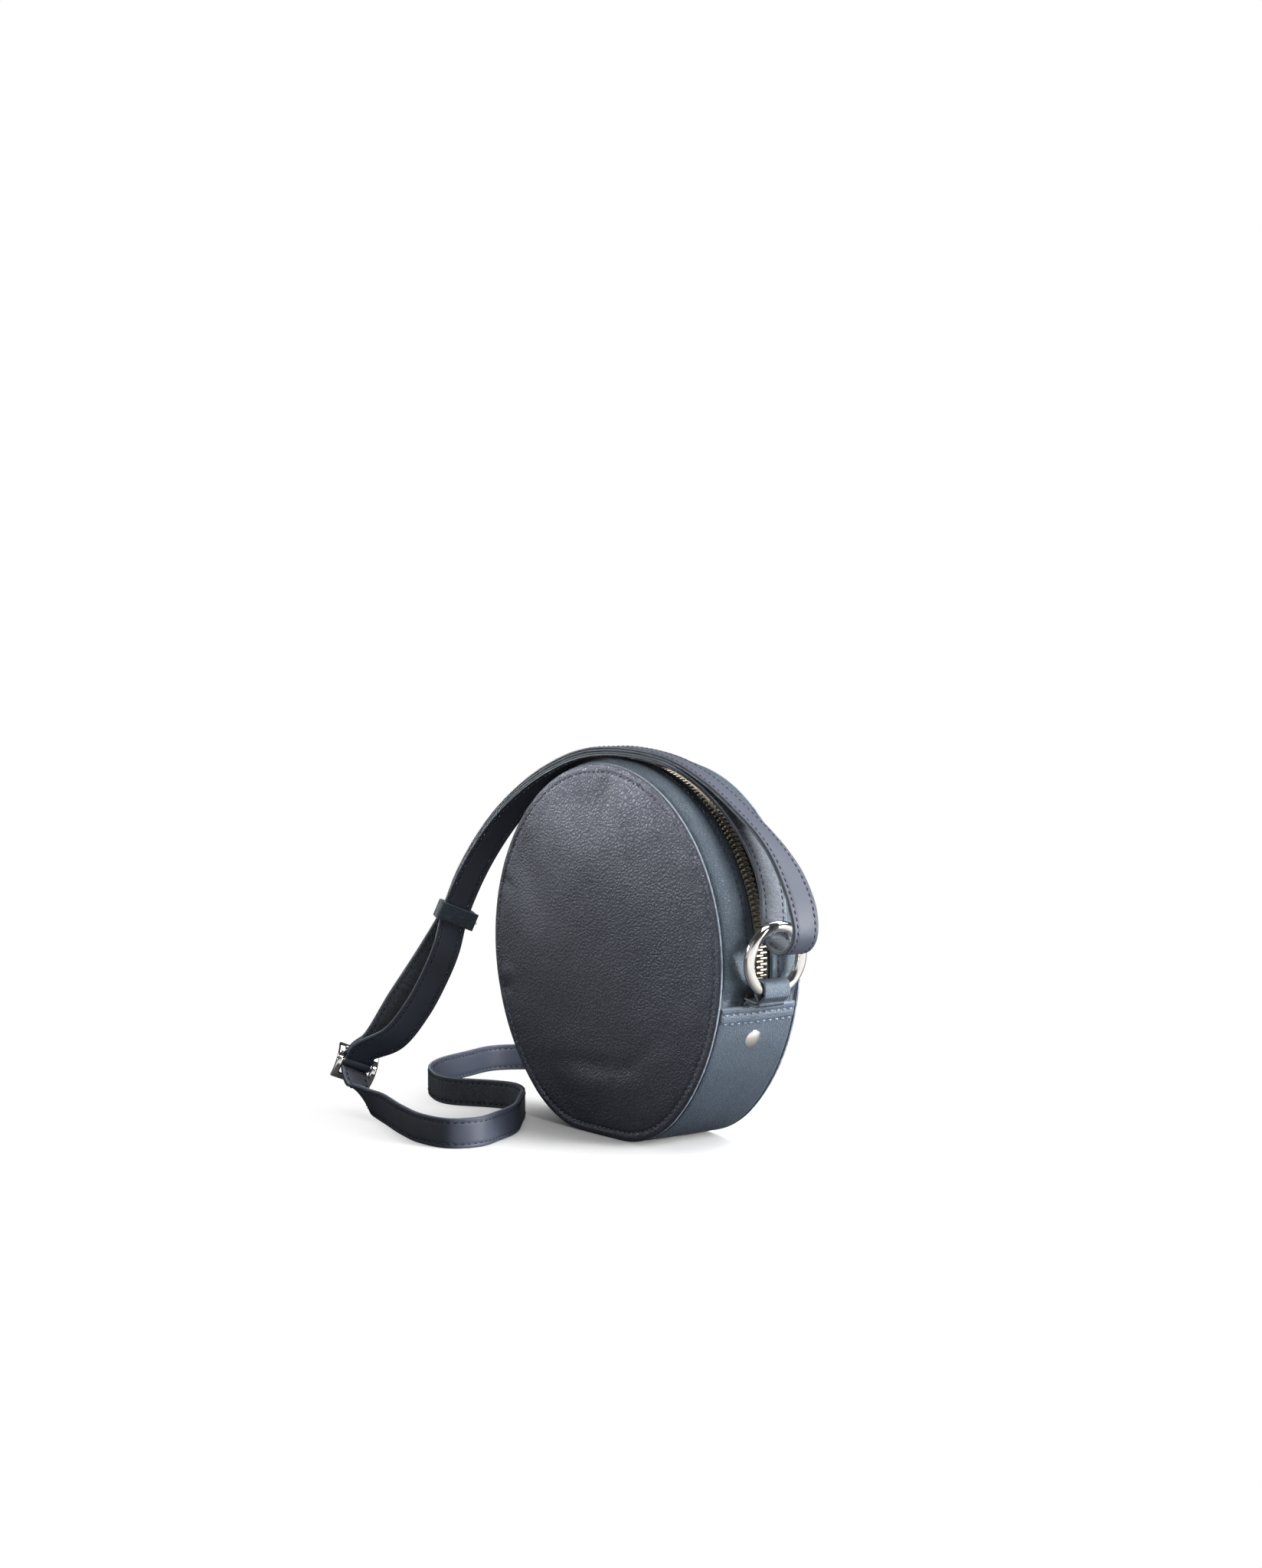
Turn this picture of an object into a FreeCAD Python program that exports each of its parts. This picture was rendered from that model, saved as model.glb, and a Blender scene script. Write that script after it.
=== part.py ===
import FreeCAD, Part
import math
import os
import re
import Sketcher
from types import SimpleNamespace
from FreeCAD import Matrix, Placement, Rotation, Vector

doc = FreeCAD.newDocument("circle_bag")
sheet = doc.addObject("Spreadsheet::Sheet", "Sizes")

# Driving dimensions: lengths in millimetres, angles in degrees
SIZES = {
    # Bag shell
    "panel_radius": 90,
    "half_depth": 24,
    "base_settle": 1,
    "side_swell": 11,
    "side_swell_angle": 48,
    "panel_dome": 4,
    "leather": 1.4,
    "flange": 6,
    "hem_angle": 11,
    "lining": 0.6,
    "seam_gap": 0.25,
    # Zip strips of the upper gusset
    "strip_crest": 2.5,
    "strip_crest_inset": 9.5,
    "strip_fold_drop": 1.5,
    "zip_opening": 10,
    # Zip chain
    "tape_gap": 5.8,
    "tape_width": 8.1,
    "tape": 0.7,
    "tooth_height": 2.3,
    "tooth_thickness": 1.15,
    "tooth_reach": 0.7,
    "tooth_pitch": 2.6,
    "tooth_round": 0.35,
    "stop_length": 2,
    # Zip sliders and pulls
    "slider_meet_angle": 88,
    "slider_length": 11,
    "slider_width": 8.4,
    "slider_plate": 1.1,
    "slider_lip": 0.7,
    "slider_post": 1.5,
    "slider_gap": 0.3,
    "bridge_length": 5.4,
    "bridge_wire": 1,
    "pull_length": 14,
    "pull_width": 5.4,
    "pull_thickness": 1.1,
    "pull_arm": 0.8,
    "pull_dip_angle": 2,
    # Rings, tabs and rivets
    "ring_radius": 15.4,
    "ring_wire": 5.2,
    "ring_lean_angle": 8,
    "ring_hang_angle": 14,
    "ring_stand_off": 7.7,
    "tab_width": 15,
    "tab_leather": 1.2,
    "tab_reach": 7.6,
    "tab_tail_angle": 26,
    "wire_gap": 0.3,
    "rivet_angle": 21,
    "rivet_cap": 9,
    "rivet_dome": 1.8,
    "rivet_rim": 0.6,
    "rivet_post": 3,
    "rivet_back": 8,
    "rivet_back_height": 1.4,
    "rivet_gap": 0.15,
    # Strap, buckle and keeper
    "strap_width": 14,
    "strap_layer": 1.1,
    "strap_gap": 0.2,
    "loop_inner_gap": 1.9,
    "loop_reach": 16.2,
    "loop_drop": 0.55,
    "loop_skew": 0.4,
    "end_loop_radius": 6,
    "end_loop_neck": 13,
    "end_loop_tail": 10,
    "buckle_length": 18,
    "buckle_side": 3.2,
    "buckle_cross": 2.8,
    "buckle_thickness": 3,
    "buckle_bow": 5,
    "buckle_round": 0.8,
    "buckle_bar": 2.8,
    "buckle_slack": 0.6,
    "keeper_length": 9,
    "keeper_leather": 1.3,
    "keeper_slack": 1.2,
    "keeper_round": 1.2,
    "keeper_flap": 3,
    "staple_length": 1.4,
    "staple_wire": 0.8,
    "overrun": 5,
}

for row, (alias, value) in enumerate(SIZES.items(), start=1):
    sheet.set("A%d" % row, alias)
    sheet.set("B%d" % row, str(value))
    sheet.setAlias("B%d" % row, alias)
doc.recompute()
s = SimpleNamespace(**{alias: float(sheet.get(alias)) for alias in SIZES})

nodes = []


def bind(obj, prop, formula):
    """Tie one property to a formula written in sheet names."""
    obj.setExpression(prop, re.sub(r"[a-z]+(_[a-z]+)*", sheet_name, formula))


def sheet_name(found):
    word = found.group(0)
    return "Sizes." + word if word in SIZES else word


def node(obj, label):
    """Mark an object as a finished sub-part."""
    obj.Label = label
    nodes.append(obj)
    return obj


def shape_object(name, shape):
    feature = doc.addObject("Part::Feature", name)
    feature.Shape = shape
    return feature


def boolean(kind, name, base, tool):
    """A cut or common of two objects."""
    result = doc.addObject("Part::" + kind, name)
    result.Base = base
    result.Tool = tool
    return result


def fuse(name, parts):
    result = doc.addObject("Part::MultiFuse", name)
    result.Shapes = parts
    return result


def mirrored(source, label, normal):
    """The same piece on the other side of the bag."""
    copy = doc.addObject("Part::Mirroring", label)
    copy.Source = source
    copy.Normal = normal
    copy.Base = Vector(0, 0, 0)
    return copy


def extruded(name, face, formula, direction=None):
    """A face in the XZ plane made solid along Y, both ways unless a direction is given."""
    solid = doc.addObject("Part::Extrusion", name)
    solid.Base = shape_object(name + "_face", face)
    solid.DirMode = "Custom"
    solid.Dir = direction or Vector(0, 1, 0)
    solid.Symmetric = direction is None
    solid.Solid = True
    bind(solid, "LengthFwd", formula)
    return solid


def block(name, length, width, height, corner):
    """A box of three formulas whose low corner stands at the three formulas of corner."""
    box = doc.addObject("Part::Box", name)
    for prop, formula in zip(("Length", "Width", "Height"), (length, width, height)):
        bind(box, prop, formula)
    for axis, formula in zip("xyz", corner):
        bind(box, "Placement.Base." + axis, formula)
    return box


def rod(name, radius, length, centre, axis):
    """A round bar centred at a point."""
    bar = doc.addObject("Part::Cylinder", name)
    bind(bar, "Radius", radius)
    bind(bar, "Height", length)
    doc.recompute()
    turn = Rotation(Vector(0, 0, 1), axis)
    middle = turn.multVec(Vector(0, 0, bar.Height.Value / 2))
    bar.Placement = Placement(centre - middle, turn)
    return bar


def origin_plane(body, role):
    return [part for part in body.Origin.OriginFeatures if part.Role == role][0]


def sketch_in(body, name, role, points, bends=None):
    """A closed sketch through pairs of formulas; bends maps an edge to its middle point."""
    sketch = body.newObject("Sketcher::SketchObject", name)
    sketch.AttachmentSupport = [(origin_plane(body, role), "")]
    sketch.MapMode = "FlatFace"
    bends = bends or {}
    value = {}
    for pair in [*points, *bends.values()]:
        value[pair] = Vector(evaluate(pair[0]), evaluate(pair[1]), 0)
    tied = []
    for index, start in enumerate(points):
        end = points[(index + 1) % len(points)]
        if index in bends:
            bow = value[bends[index]] - value[start]
            leftward = bow.cross(value[end] - value[start]).z > 0
            first, last = (start, end) if leftward else (end, start)
            edge = Part.Arc(value[first], value[bends[index]], value[last])
            geometry = sketch.addGeometry(edge, False)
            tied += [(geometry, 1, first), (geometry, 2, last)]
            middle = sketch.addGeometry(Part.Point(value[bends[index]]), True)
            sketch.addConstraint(Sketcher.Constraint("PointOnObject", middle, 1, geometry))
            tied.append((middle, 1, bends[index]))
        else:
            geometry = sketch.addGeometry(Part.LineSegment(value[start], value[end]), False)
            tied += [(geometry, 1, start), (geometry, 2, end)]
    for geometry, vertex, pair in tied:
        for kind, formula in zip(("DistanceX", "DistanceY"), pair):
            limit = Sketcher.Constraint(kind, -1, 1, geometry, vertex, evaluate(formula))
            bind(sketch, "Constraints[%d]" % sketch.addConstraint(limit), formula)
    return sketch


def evaluate(formula):
    """The present value of a formula written in sheet names."""
    value = sheet.evalExpression(formula)
    return float(getattr(value, "Value", value))


def polar(radius, degrees, y=0.0):
    """A point about the bag's own axis, angle measured from +X toward +Z."""
    angle = math.radians(degrees)
    return Vector(radius * math.cos(angle), y, centre_height + radius * math.sin(angle))


# Outline of the bag: a circle above the hems, fuller lower sides, a short flat base
centre_height = s.panel_radius - s.base_settle
side_radius = s.panel_radius + s.side_swell
hem_sin = math.sin(math.radians(-s.hem_angle))
hem_cos = math.cos(math.radians(s.hem_angle))
turn_sin = math.sin(math.radians(-s.side_swell_angle))
turn_cos = math.cos(math.radians(s.side_swell_angle))
side_centre = Vector(-s.side_swell * hem_cos, 0, centre_height - s.side_swell * hem_sin)
corner_radius = (side_centre.z + side_radius * turn_sin) / (1 + turn_sin)
corner_centre = side_centre + Vector(turn_cos, 0, turn_sin) * (side_radius - corner_radius)


def around(centre, radius, degrees):
    angle = math.radians(degrees)
    return centre + Vector(radius * math.cos(angle), 0, radius * math.sin(angle))


def flip(point):
    return Vector(-point.x, point.y, point.z)


def lower_edges(inset):
    """Edges from the right hem down under the base and up to the left hem."""
    hem, turn = -s.hem_angle, -s.side_swell_angle
    side = [around(side_centre, side_radius - inset, a) for a in (hem, (hem + turn) / 2, turn)]
    corner = [around(corner_centre, corner_radius - inset, a) for a in (turn, (turn - 90) / 2, -90)]
    right = [side, corner]
    left = [[flip(point) for point in reversed(arc)] for arc in reversed(right)]
    edges = [Part.Arc(*arc).toShape() for arc in right]
    edges.append(Part.makeLine(corner[-1], flip(corner[-1])))
    edges += [Part.Arc(*arc).toShape() for arc in left]
    return edges


def outline_face(inset):
    """The whole bag outline, drawn in by an inset."""
    radius = s.panel_radius - inset
    top = Part.Arc(polar(radius, 180 + s.hem_angle), polar(radius, 90), polar(radius, -s.hem_angle))
    return Part.Face(Part.Wire([top.toShape(), *lower_edges(inset)]))


def lower_face(outer_inset, inner_inset):
    """A band that follows the outline under the bag from hem to hem."""
    outer, inner = lower_edges(outer_inset), lower_edges(inner_inset)
    ends = []
    for degrees in (-s.hem_angle, 180 + s.hem_angle):
        ends.append(Part.makeLine(polar(s.panel_radius - outer_inset, degrees),
                                  polar(s.panel_radius - inner_inset, degrees)))
    return Part.Face(Part.Wire(Part.__sortEdges__([*outer, *inner, *ends])))


# Front and back panels: leather discs that dome gently outward
dome_radius = "((panel_radius ^ 2 + panel_dome ^ 2) / (2 * panel_dome))"
balls = []
for ball_name, ball_radius in (("dome_outer", dome_radius), ("dome_inner", dome_radius + " - leather")):
    ball = doc.addObject("Part::Sphere", ball_name)
    bind(ball, "Radius", ball_radius)
    bind(ball, "Placement.Base.y", dome_radius + " - panel_dome - half_depth")
    bind(ball, "Placement.Base.z", "panel_radius - base_settle")
    balls.append(ball)
panel_prism = extruded("panel_prism", outline_face(0), "half_depth + panel_dome + overrun", Vector(0, -1, 0))
dome_shell = boolean("Cut", "dome_shell", *balls)
front_panel = node(boolean("Common", "front_panel", panel_prism, dome_shell), "front_panel")
node(mirrored(front_panel, "back_panel", Vector(0, 1, 0)), "back_panel")

# Upper gusset: two puffed leather strips turned about the bag's axis, with a flange under each panel
gusset_half = "(half_depth - leather - seam_gap)"
tab_slot = "(2 * tab_leather + 2 * seam_gap)"
strip_end = "(hem_angle - " + tab_slot + " / (panel_radius - leather) * 180 / pi)"
strip_reach = "(hem_angle - seam_gap / (panel_radius - leather) * 180 / pi)"


def turned_strip(name, points, bends=None, end=strip_end):
    """A section of radius and Y swept over the top of the bag from hem to hem."""
    body = doc.addObject("PartDesign::Body", name)
    sketch = sketch_in(body, name + "_section", "XY_Plane", points, bends)
    sweep = body.newObject("PartDesign::Revolution", name + "_sweep")
    sweep.Profile = sketch
    sweep.ReferenceAxis = (sketch, ["V_Axis"])
    sweep.Reversed = True
    bind(sweep, "Angle", "180 + 2 * " + end)
    body.Placement = Placement(Vector(0, 0, centre_height), Rotation(Vector(0, 1, 0), evaluate(end)))
    return body


def front_and_back(piece, front_name):
    """One node before the zip and its like behind it."""
    back_name = front_name.replace("front", "back")
    node(piece, front_name)
    node(mirrored(piece, back_name, Vector(0, 1, 0)), back_name)


crest = "(panel_radius + strip_crest)"
fold = "(panel_radius + strip_crest - strip_fold_drop)"
crest_y = "-(half_depth - strip_crest_inset)"
strip = turned_strip("upper_gusset_strip", [
    ("panel_radius - flange", "-" + gusset_half),
    ("panel_radius", "-" + gusset_half),
    (fold, "-zip_opening / 2"),
    (fold + " - leather", "-zip_opening / 2"),
    ("panel_radius - leather", "leather - " + gusset_half),
    ("panel_radius - flange", "leather - " + gusset_half),
], {1: (crest, crest_y), 3: (crest + " - leather", crest_y)}, strip_reach)

# A slot beside the zip at each hem, where a ring tab goes into the bag
slot_right = doc.addObject("Part::Box", "tab_slot_right")
bind(slot_right, "Length", "2 * flange + strip_crest")
bind(slot_right, "Width", "tab_width + 2 * seam_gap")
bind(slot_right, "Height", tab_slot)
slot_corner = polar(s.panel_radius - s.flange, -s.hem_angle) - Vector(0, s.tab_width / 2 + s.seam_gap, 0)
slot_right.Placement = Placement(slot_corner, Rotation(Vector(0, 1, 0), s.hem_angle))
slot_left = mirrored(slot_right, "tab_slot_left", Vector(1, 0, 0))
strip = boolean("Cut", "strip_slotted_right", strip, slot_right)
front_and_back(boolean("Cut", "strip_slotted", strip, slot_left), "upper_gusset_front")

# Inner lining of the upper gusset, one strip each side of the zip
lining_radius = "(panel_radius - leather - 2 * tab_leather - 2 * seam_gap)"
lining_half = "(half_depth - 2 * leather - lining - 3 * seam_gap)"
front_and_back(turned_strip("upper_lining_strip", [
    (lining_radius + " - lining", "-" + lining_half),
    (lining_radius, "-" + lining_half),
    (lining_radius, "-zip_opening / 2 - leather"),
    (lining_radius + " - lining", "-zip_opening / 2 - leather"),
]), "upper_lining_front")

# Zip tapes, sewn under the folded edges of the strips
tape_top = "(" + fold + " - leather - seam_gap)"
front_and_back(turned_strip("zip_tape_strip", [
    (tape_top + " - tape", "-(tape_gap / 2 + tape_width)"),
    (tape_top, "-(tape_gap / 2 + tape_width)"),
    (tape_top, "-tape_gap / 2"),
    (tape_top + " - tape", "-tape_gap / 2"),
]), "zip_tape_front")

# Zip teeth: two staggered rows that mesh, spread apart where the two sliders meet
chain_radius = evaluate(tape_top) - s.tape / 2
strip_end_angle = evaluate(strip_end)
stop_angle = strip_end_angle - math.degrees(s.stop_length / 2 / chain_radius)
chain_end_angle = stop_angle - math.degrees((s.stop_length / 2 + s.tooth_pitch / 2) / chain_radius)
pitch_angle = math.degrees(s.tooth_pitch / chain_radius)
spread_angle = math.degrees((s.slider_post + s.slider_gap + s.tooth_thickness) / chain_radius)


def on_chain(degrees):
    """The frame on the chain's middle line: Z away from the bag, X along the zip toward the right."""
    return Placement(polar(chain_radius, degrees), Rotation(Vector(0, 1, 0), 90 - degrees))


def zip_teeth(label, side, phase_share):
    reach = s.tape_gap / 2 + s.tooth_reach
    start = -s.tape_gap / 2 if side < 0 else -s.tooth_reach
    corner = Vector(-s.tooth_thickness / 2, start, -s.tooth_height / 2)
    tooth = Part.makeBox(s.tooth_thickness, reach, s.tooth_height, corner)
    long_edges = [edge for edge in tooth.Edges if edge.BoundBox.YLength > s.tooth_height]
    tooth = tooth.makeFillet(s.tooth_round, [edge for edge in long_edges if edge.CenterOfMass.z > 0])
    row = []
    angle = phase_share * pitch_angle - chain_end_angle
    while angle < 180 + chain_end_angle:
        if abs(angle - s.slider_meet_angle) > spread_angle:
            row.append(tooth.copy())
            row[-1].Placement = on_chain(angle)
        angle += pitch_angle
    return node(shape_object(label, Part.makeCompound(row)), label)


zip_teeth("zip_teeth_front", -1, 0)
zip_teeth("zip_teeth_back", 1, 0.5)

stops = []
for stop_name, degrees in (("stop_right", -stop_angle), ("stop_left", 180 + stop_angle)):
    stop = doc.addObject("Part::Box", stop_name)
    bind(stop, "Length", "stop_length")
    bind(stop, "Width", "tape_gap - 2 * seam_gap")
    bind(stop, "Height", "tooth_height")
    half = Vector(s.stop_length / 2, s.tape_gap / 2 - s.seam_gap, s.tooth_height / 2)
    stop.Placement = on_chain(degrees) * Placement(-half, Rotation())
    stops.append(stop)
zip_stops = doc.addObject("Part::Compound", "zip_stops")
zip_stops.Links = stops
node(zip_stops, "zip_stops")

# Zip sliders, nose to nose at the top, each with a pull that lies away from the other
plate_inner = "(tooth_height / 2 + slider_gap)"
plate_outer = "(tooth_height / 2 + slider_gap + slider_plate)"
bridge_height = "(pull_thickness + 2 * slider_gap)"
slider_half_angle = math.degrees((s.slider_length + s.slider_gap) / 2 / chain_radius)
pin_height = evaluate(plate_outer + " + " + bridge_height + " / 2")


def zip_slider(side):
    name = "zip_slider_" + side
    back, low = "-slider_length / 2", "-slider_width / 2"
    pieces = []
    for level, plate_z in (("top", plate_inner), ("bottom", "-" + plate_outer)):
        plate = block(name + level, "slider_length", "slider_width", "slider_plate", (back, low, plate_z))
        lip_z = "tape / 2 + slider_gap" if level == "top" else "-" + plate_inner
        lip_size = ("slider_length", "slider_lip", "(tooth_height - tape) / 2")
        pieces.append(plate)
        pieces.append(block(name + level + "_lip_a", *lip_size, (back, low, lip_z)))
        far_lip = (back, "slider_width / 2 - slider_lip", lip_z)
        pieces.append(block(name + level + "_lip_b", *lip_size, far_lip))
    pieces.append(block(name + "_post", "slider_post", "slider_post", "2 * " + plate_inner,
                        (back, "-slider_post / 2", "-" + plate_inner)))
    for leg, leg_x in (("tail", "bridge_length / 2 - bridge_wire"), ("nose", "-bridge_length / 2")):
        pieces.append(block(name + leg, "bridge_wire", "2 * bridge_wire", bridge_height,
                            (leg_x, "-bridge_wire", plate_outer)))
    pieces.append(block(name + "_bridge", "bridge_length", "2 * bridge_wire", "bridge_wire",
                        ("-bridge_length / 2", "-bridge_wire", plate_outer + " + " + bridge_height)))
    return fuse(name, pieces)


def zip_pull(side):
    name = "zip_pull_" + side
    low = "-pull_thickness / 2"
    neck = "(bridge_length / 2 + bridge_wire)"
    pieces = [rod(name + "_pin", "pull_thickness / 2", "pull_width", Vector(0, 0, 0), Vector(0, 1, 0))]
    for arm, arm_y in (("_arm_a", "-pull_width / 2"), ("_arm_b", "pull_width / 2 - pull_arm")):
        arm_size = (neck + " + pull_arm", "pull_arm", "pull_thickness")
        pieces.append(block(name + arm, *arm_size, ("0", arm_y, low)))
    tongue_size = ("pull_length - pull_width / 2 - " + neck, "pull_width", "pull_thickness")
    pieces.append(block(name + "_tongue", *tongue_size, (neck, "-pull_width / 2", low)))
    pieces.append(rod(name + "_end", "pull_width / 2", "pull_thickness",
                      Vector(s.pull_length - s.pull_width / 2, 0, 0), Vector(0, 0, 1)))
    return fuse(name, pieces)


about_turn = Placement(Vector(), Rotation(Vector(0, 0, 1), 180))
slider_frames = {
    "right": on_chain(s.slider_meet_angle - slider_half_angle),
    "left": on_chain(s.slider_meet_angle + slider_half_angle) * about_turn,
}
for side, frame in slider_frames.items():
    dip = Rotation(Vector(0, 1, 0), s.pull_dip_angle)
    node(zip_slider(side), "zip_slider_" + side).Placement = frame
    on_pin = Placement(Vector(0, 0, pin_height), dip)
    node(zip_pull(side), "zip_pull_" + side).Placement = frame * on_pin

# Rivets that hold the tabs: a domed cap with a post, and a smaller cap inside
rivet_depth = "(panel_radius - " + lining_radius + " + lining + seam_gap)"


def turned_rivet(name, points, bends):
    body = doc.addObject("PartDesign::Body", name)
    sketch = sketch_in(body, name + "_section", "XZ_Plane", points, bends)
    sweep = body.newObject("PartDesign::Revolution", name + "_sweep")
    sweep.Profile = sketch
    sweep.ReferenceAxis = (sketch, ["V_Axis"])
    sweep.Angle = 360
    body.Placement = Placement(rivet_seat, Rotation(Vector(0, 1, 0), 90 + s.rivet_angle))
    pair = doc.addObject("Part::Compound", name + "s")
    pair.Links = [body, mirrored(body, name + "_left", Vector(1, 0, 0))]
    return node(pair, name + "s")


rivet_seat = around(side_centre, side_radius, -s.rivet_angle)
post_tip = "-" + rivet_depth
shoulder_share, rise_share = 0.3, 0.68
shoulder = "%s * " + str(shoulder_share)
rise = "(%s - rivet_rim) * " + str(rise_share)
turned_rivet("rivet_cap", [
    ("0", post_tip),
    ("rivet_post / 2", post_tip),
    ("rivet_post / 2", "0"),
    ("rivet_cap / 2", "0"),
    ("rivet_cap / 2", "rivet_rim"),
    ("rivet_rim", "rivet_dome"),
    ("0", "rivet_dome"),
], {4: (shoulder % "rivet_cap", "rivet_rim + " + rise % "rivet_dome")})
turned_rivet("rivet_back", [
    ("0", post_tip + " - rivet_back_height"),
    ("rivet_rim", post_tip + " - rivet_back_height"),
    ("rivet_back / 2", post_tip + " - rivet_rim"),
    ("rivet_back / 2", post_tip),
    ("0", post_tip),
], {1: (shoulder % "rivet_back", post_tip + " - rivet_rim - " + rise % "rivet_back_height")})

rivet_out = Vector(math.cos(math.radians(s.rivet_angle)), 0, -math.sin(math.radians(s.rivet_angle)))
hole_length = "2 * (" + rivet_depth + " + overrun)"
rivet_hole = rod("rivet_hole_right", "rivet_post / 2 + rivet_gap", hole_length, rivet_seat, rivet_out)
rivet_holes = fuse("rivet_holes", [rivet_hole, mirrored(rivet_hole, "rivet_hole_left", Vector(1, 0, 0))])

# Lower gusset: one leather band under the bag with a flange along each panel
lower_band = extruded("lower_band", lower_face(0, s.leather), "2 * " + gusset_half)
lower_flange = extruded("lower_flange", lower_face(0, s.flange), "leather", Vector(0, 1, 0))
bind(lower_flange, "Placement.Base.y", "-" + gusset_half)
lower_flange_back = mirrored(lower_flange, "lower_flange_back", Vector(0, 1, 0))
lower_sheet = fuse("lower_sheet", [lower_band, lower_flange, lower_flange_back])
node(boolean("Cut", "lower_gusset", lower_sheet, rivet_holes), "lower_gusset")

# Lining: a band under the bag and a disc behind each panel
lining_inset = s.panel_radius - evaluate(lining_radius)
lining_band = extruded("lining_band", lower_face(lining_inset, lining_inset + s.lining), "2 * " + lining_half)
node(boolean("Cut", "lower_lining", lining_band, rivet_holes), "lower_lining")
disc_inset = s.leather + s.seam_gap
front_lining = extruded("front_lining", outline_face(disc_inset), "lining", Vector(0, -1, 0))
bind(front_lining, "Placement.Base.y", "-(half_depth - 2 * leather - lining - 2 * seam_gap)")
node(front_lining, "front_lining")
node(mirrored(front_lining, "back_lining", Vector(0, 1, 0)), "back_lining")

# Rings: the right one stands up against the strap, the left one hangs down
tab_cavity = s.ring_wire / 2 + s.wire_gap
tab_saddle = s.ring_radius + s.wire_gap - math.sqrt(s.ring_radius ** 2 - (s.tab_width / 2) ** 2)
hem_out = Vector(hem_cos, 0, hem_sin)
hem_up = Vector(-hem_sin, 0, hem_cos)


def hem_point(out, up):
    """A point of the right tab: distance from the bag's axis along the hem, and height above it."""
    return Vector(0, 0, centre_height) + hem_out * out + hem_up * up


ring_foot = hem_point(s.panel_radius + s.ring_stand_off, s.tab_reach)
lean, hang = math.radians(s.ring_lean_angle), math.radians(s.ring_hang_angle)
ring_ways = {
    "right": (ring_foot, Vector(math.sin(lean), 0, math.cos(lean))),
    "left": (flip(ring_foot), Vector(math.sin(hang), 0, -math.cos(hang))),
}
for side, (foot, way) in ring_ways.items():
    ring = doc.addObject("Part::Torus", "ring_" + side)
    bind(ring, "Radius1", "ring_radius")
    bind(ring, "Radius2", "ring_wire / 2")
    facing = Rotation(Vector(0, 0, 1), Vector(way.z, 0, -way.x))
    ring.Placement = Placement(foot + way * s.ring_radius, facing)
    node(ring, "ring_" + side)

# Ring tabs: leather folded round the ring, through the hem and down behind the gusset to the rivet


def slot_face(first, last, radius):
    """A slot with round ends about two centres."""
    way = (last - first).normalize()
    side = Vector(way.z, 0, -way.x) * radius
    far = Part.Arc(last + side, last + way * radius, last - side).toShape()
    near = Part.Arc(first - side, first - way * radius, first + side).toShape()
    runs = [Part.makeLine(first + side, last + side), Part.makeLine(last - side, first - side)]
    return Part.Face(Part.Wire(Part.__sortEdges__([far, near, *runs])))


def flat_sided(points):
    return Part.Face(Part.makePolygon([*points, points[0]]))


def ring_tab(side):
    foot, way = ring_ways[side]
    place = flip if side == "left" else Vector
    fold_top = foot + way * tab_saddle
    tail_out = s.panel_radius - s.leather - s.seam_gap
    tail_in = tail_out - 2 * s.tab_leather
    eye_out = s.panel_radius + s.ring_stand_off
    slot_low, slot_high = s.seam_gap, s.seam_gap + 2 * s.tab_leather
    tail_angles = (-s.tab_tail_angle, -(s.tab_tail_angle + s.hem_angle) / 2, -s.hem_angle)
    arcs = []
    for radius in (tail_in, tail_out):
        arcs.append([place(around(side_centre, radius + s.side_swell, angle)) for angle in tail_angles])
    caps = [Part.makeLine(arcs[0][end], arcs[1][end]) for end in (0, 2)]
    tail_edges = [Part.Arc(*arc).toShape() for arc in arcs] + caps
    faces = {
        "fold": slot_face(foot, fold_top, tab_cavity + s.tab_leather),
        "neck": flat_sided([place(hem_point(out, up)) for out, up in (
            (eye_out - s.tab_leather, slot_low), (eye_out + s.tab_leather, slot_low),
            (eye_out + s.tab_leather, s.tab_reach), (eye_out - s.tab_leather, s.tab_reach))]),
        "bend": flat_sided([place(hem_point(out, up)) for out, up in (
            (tail_in, 0), (tail_out, 0), (tail_out, slot_low), (eye_out + s.tab_leather, slot_low),
            (eye_out + s.tab_leather, slot_high), (tail_in, slot_high))]),
        "tail": Part.Face(Part.Wire(Part.__sortEdges__(tail_edges))),
    }
    name = "ring_tab_" + side
    pieces = [extruded(name + part, face, "tab_width") for part, face in faces.items()]
    leather = fuse(name + "_leather", pieces)
    eye = extruded(name + "_eye", slot_face(foot, fold_top, tab_cavity), "tab_width + 2 * overrun")
    pierced = boolean("Cut", name + "_pierced", leather, eye)
    return node(boolean("Cut", name, pierced, rivet_holes), name)


ring_tab("right")
ring_tab("left")

# Strap route: where the two runs lie together, and where each goes its own way.
# Places are shares of the panel radius; a lift is the height of the underside above the strips' crest.
strap = 2 * s.strap_layer
crest_radius = s.panel_radius + s.strip_crest
across = Vector(0, 1, 0)

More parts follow.
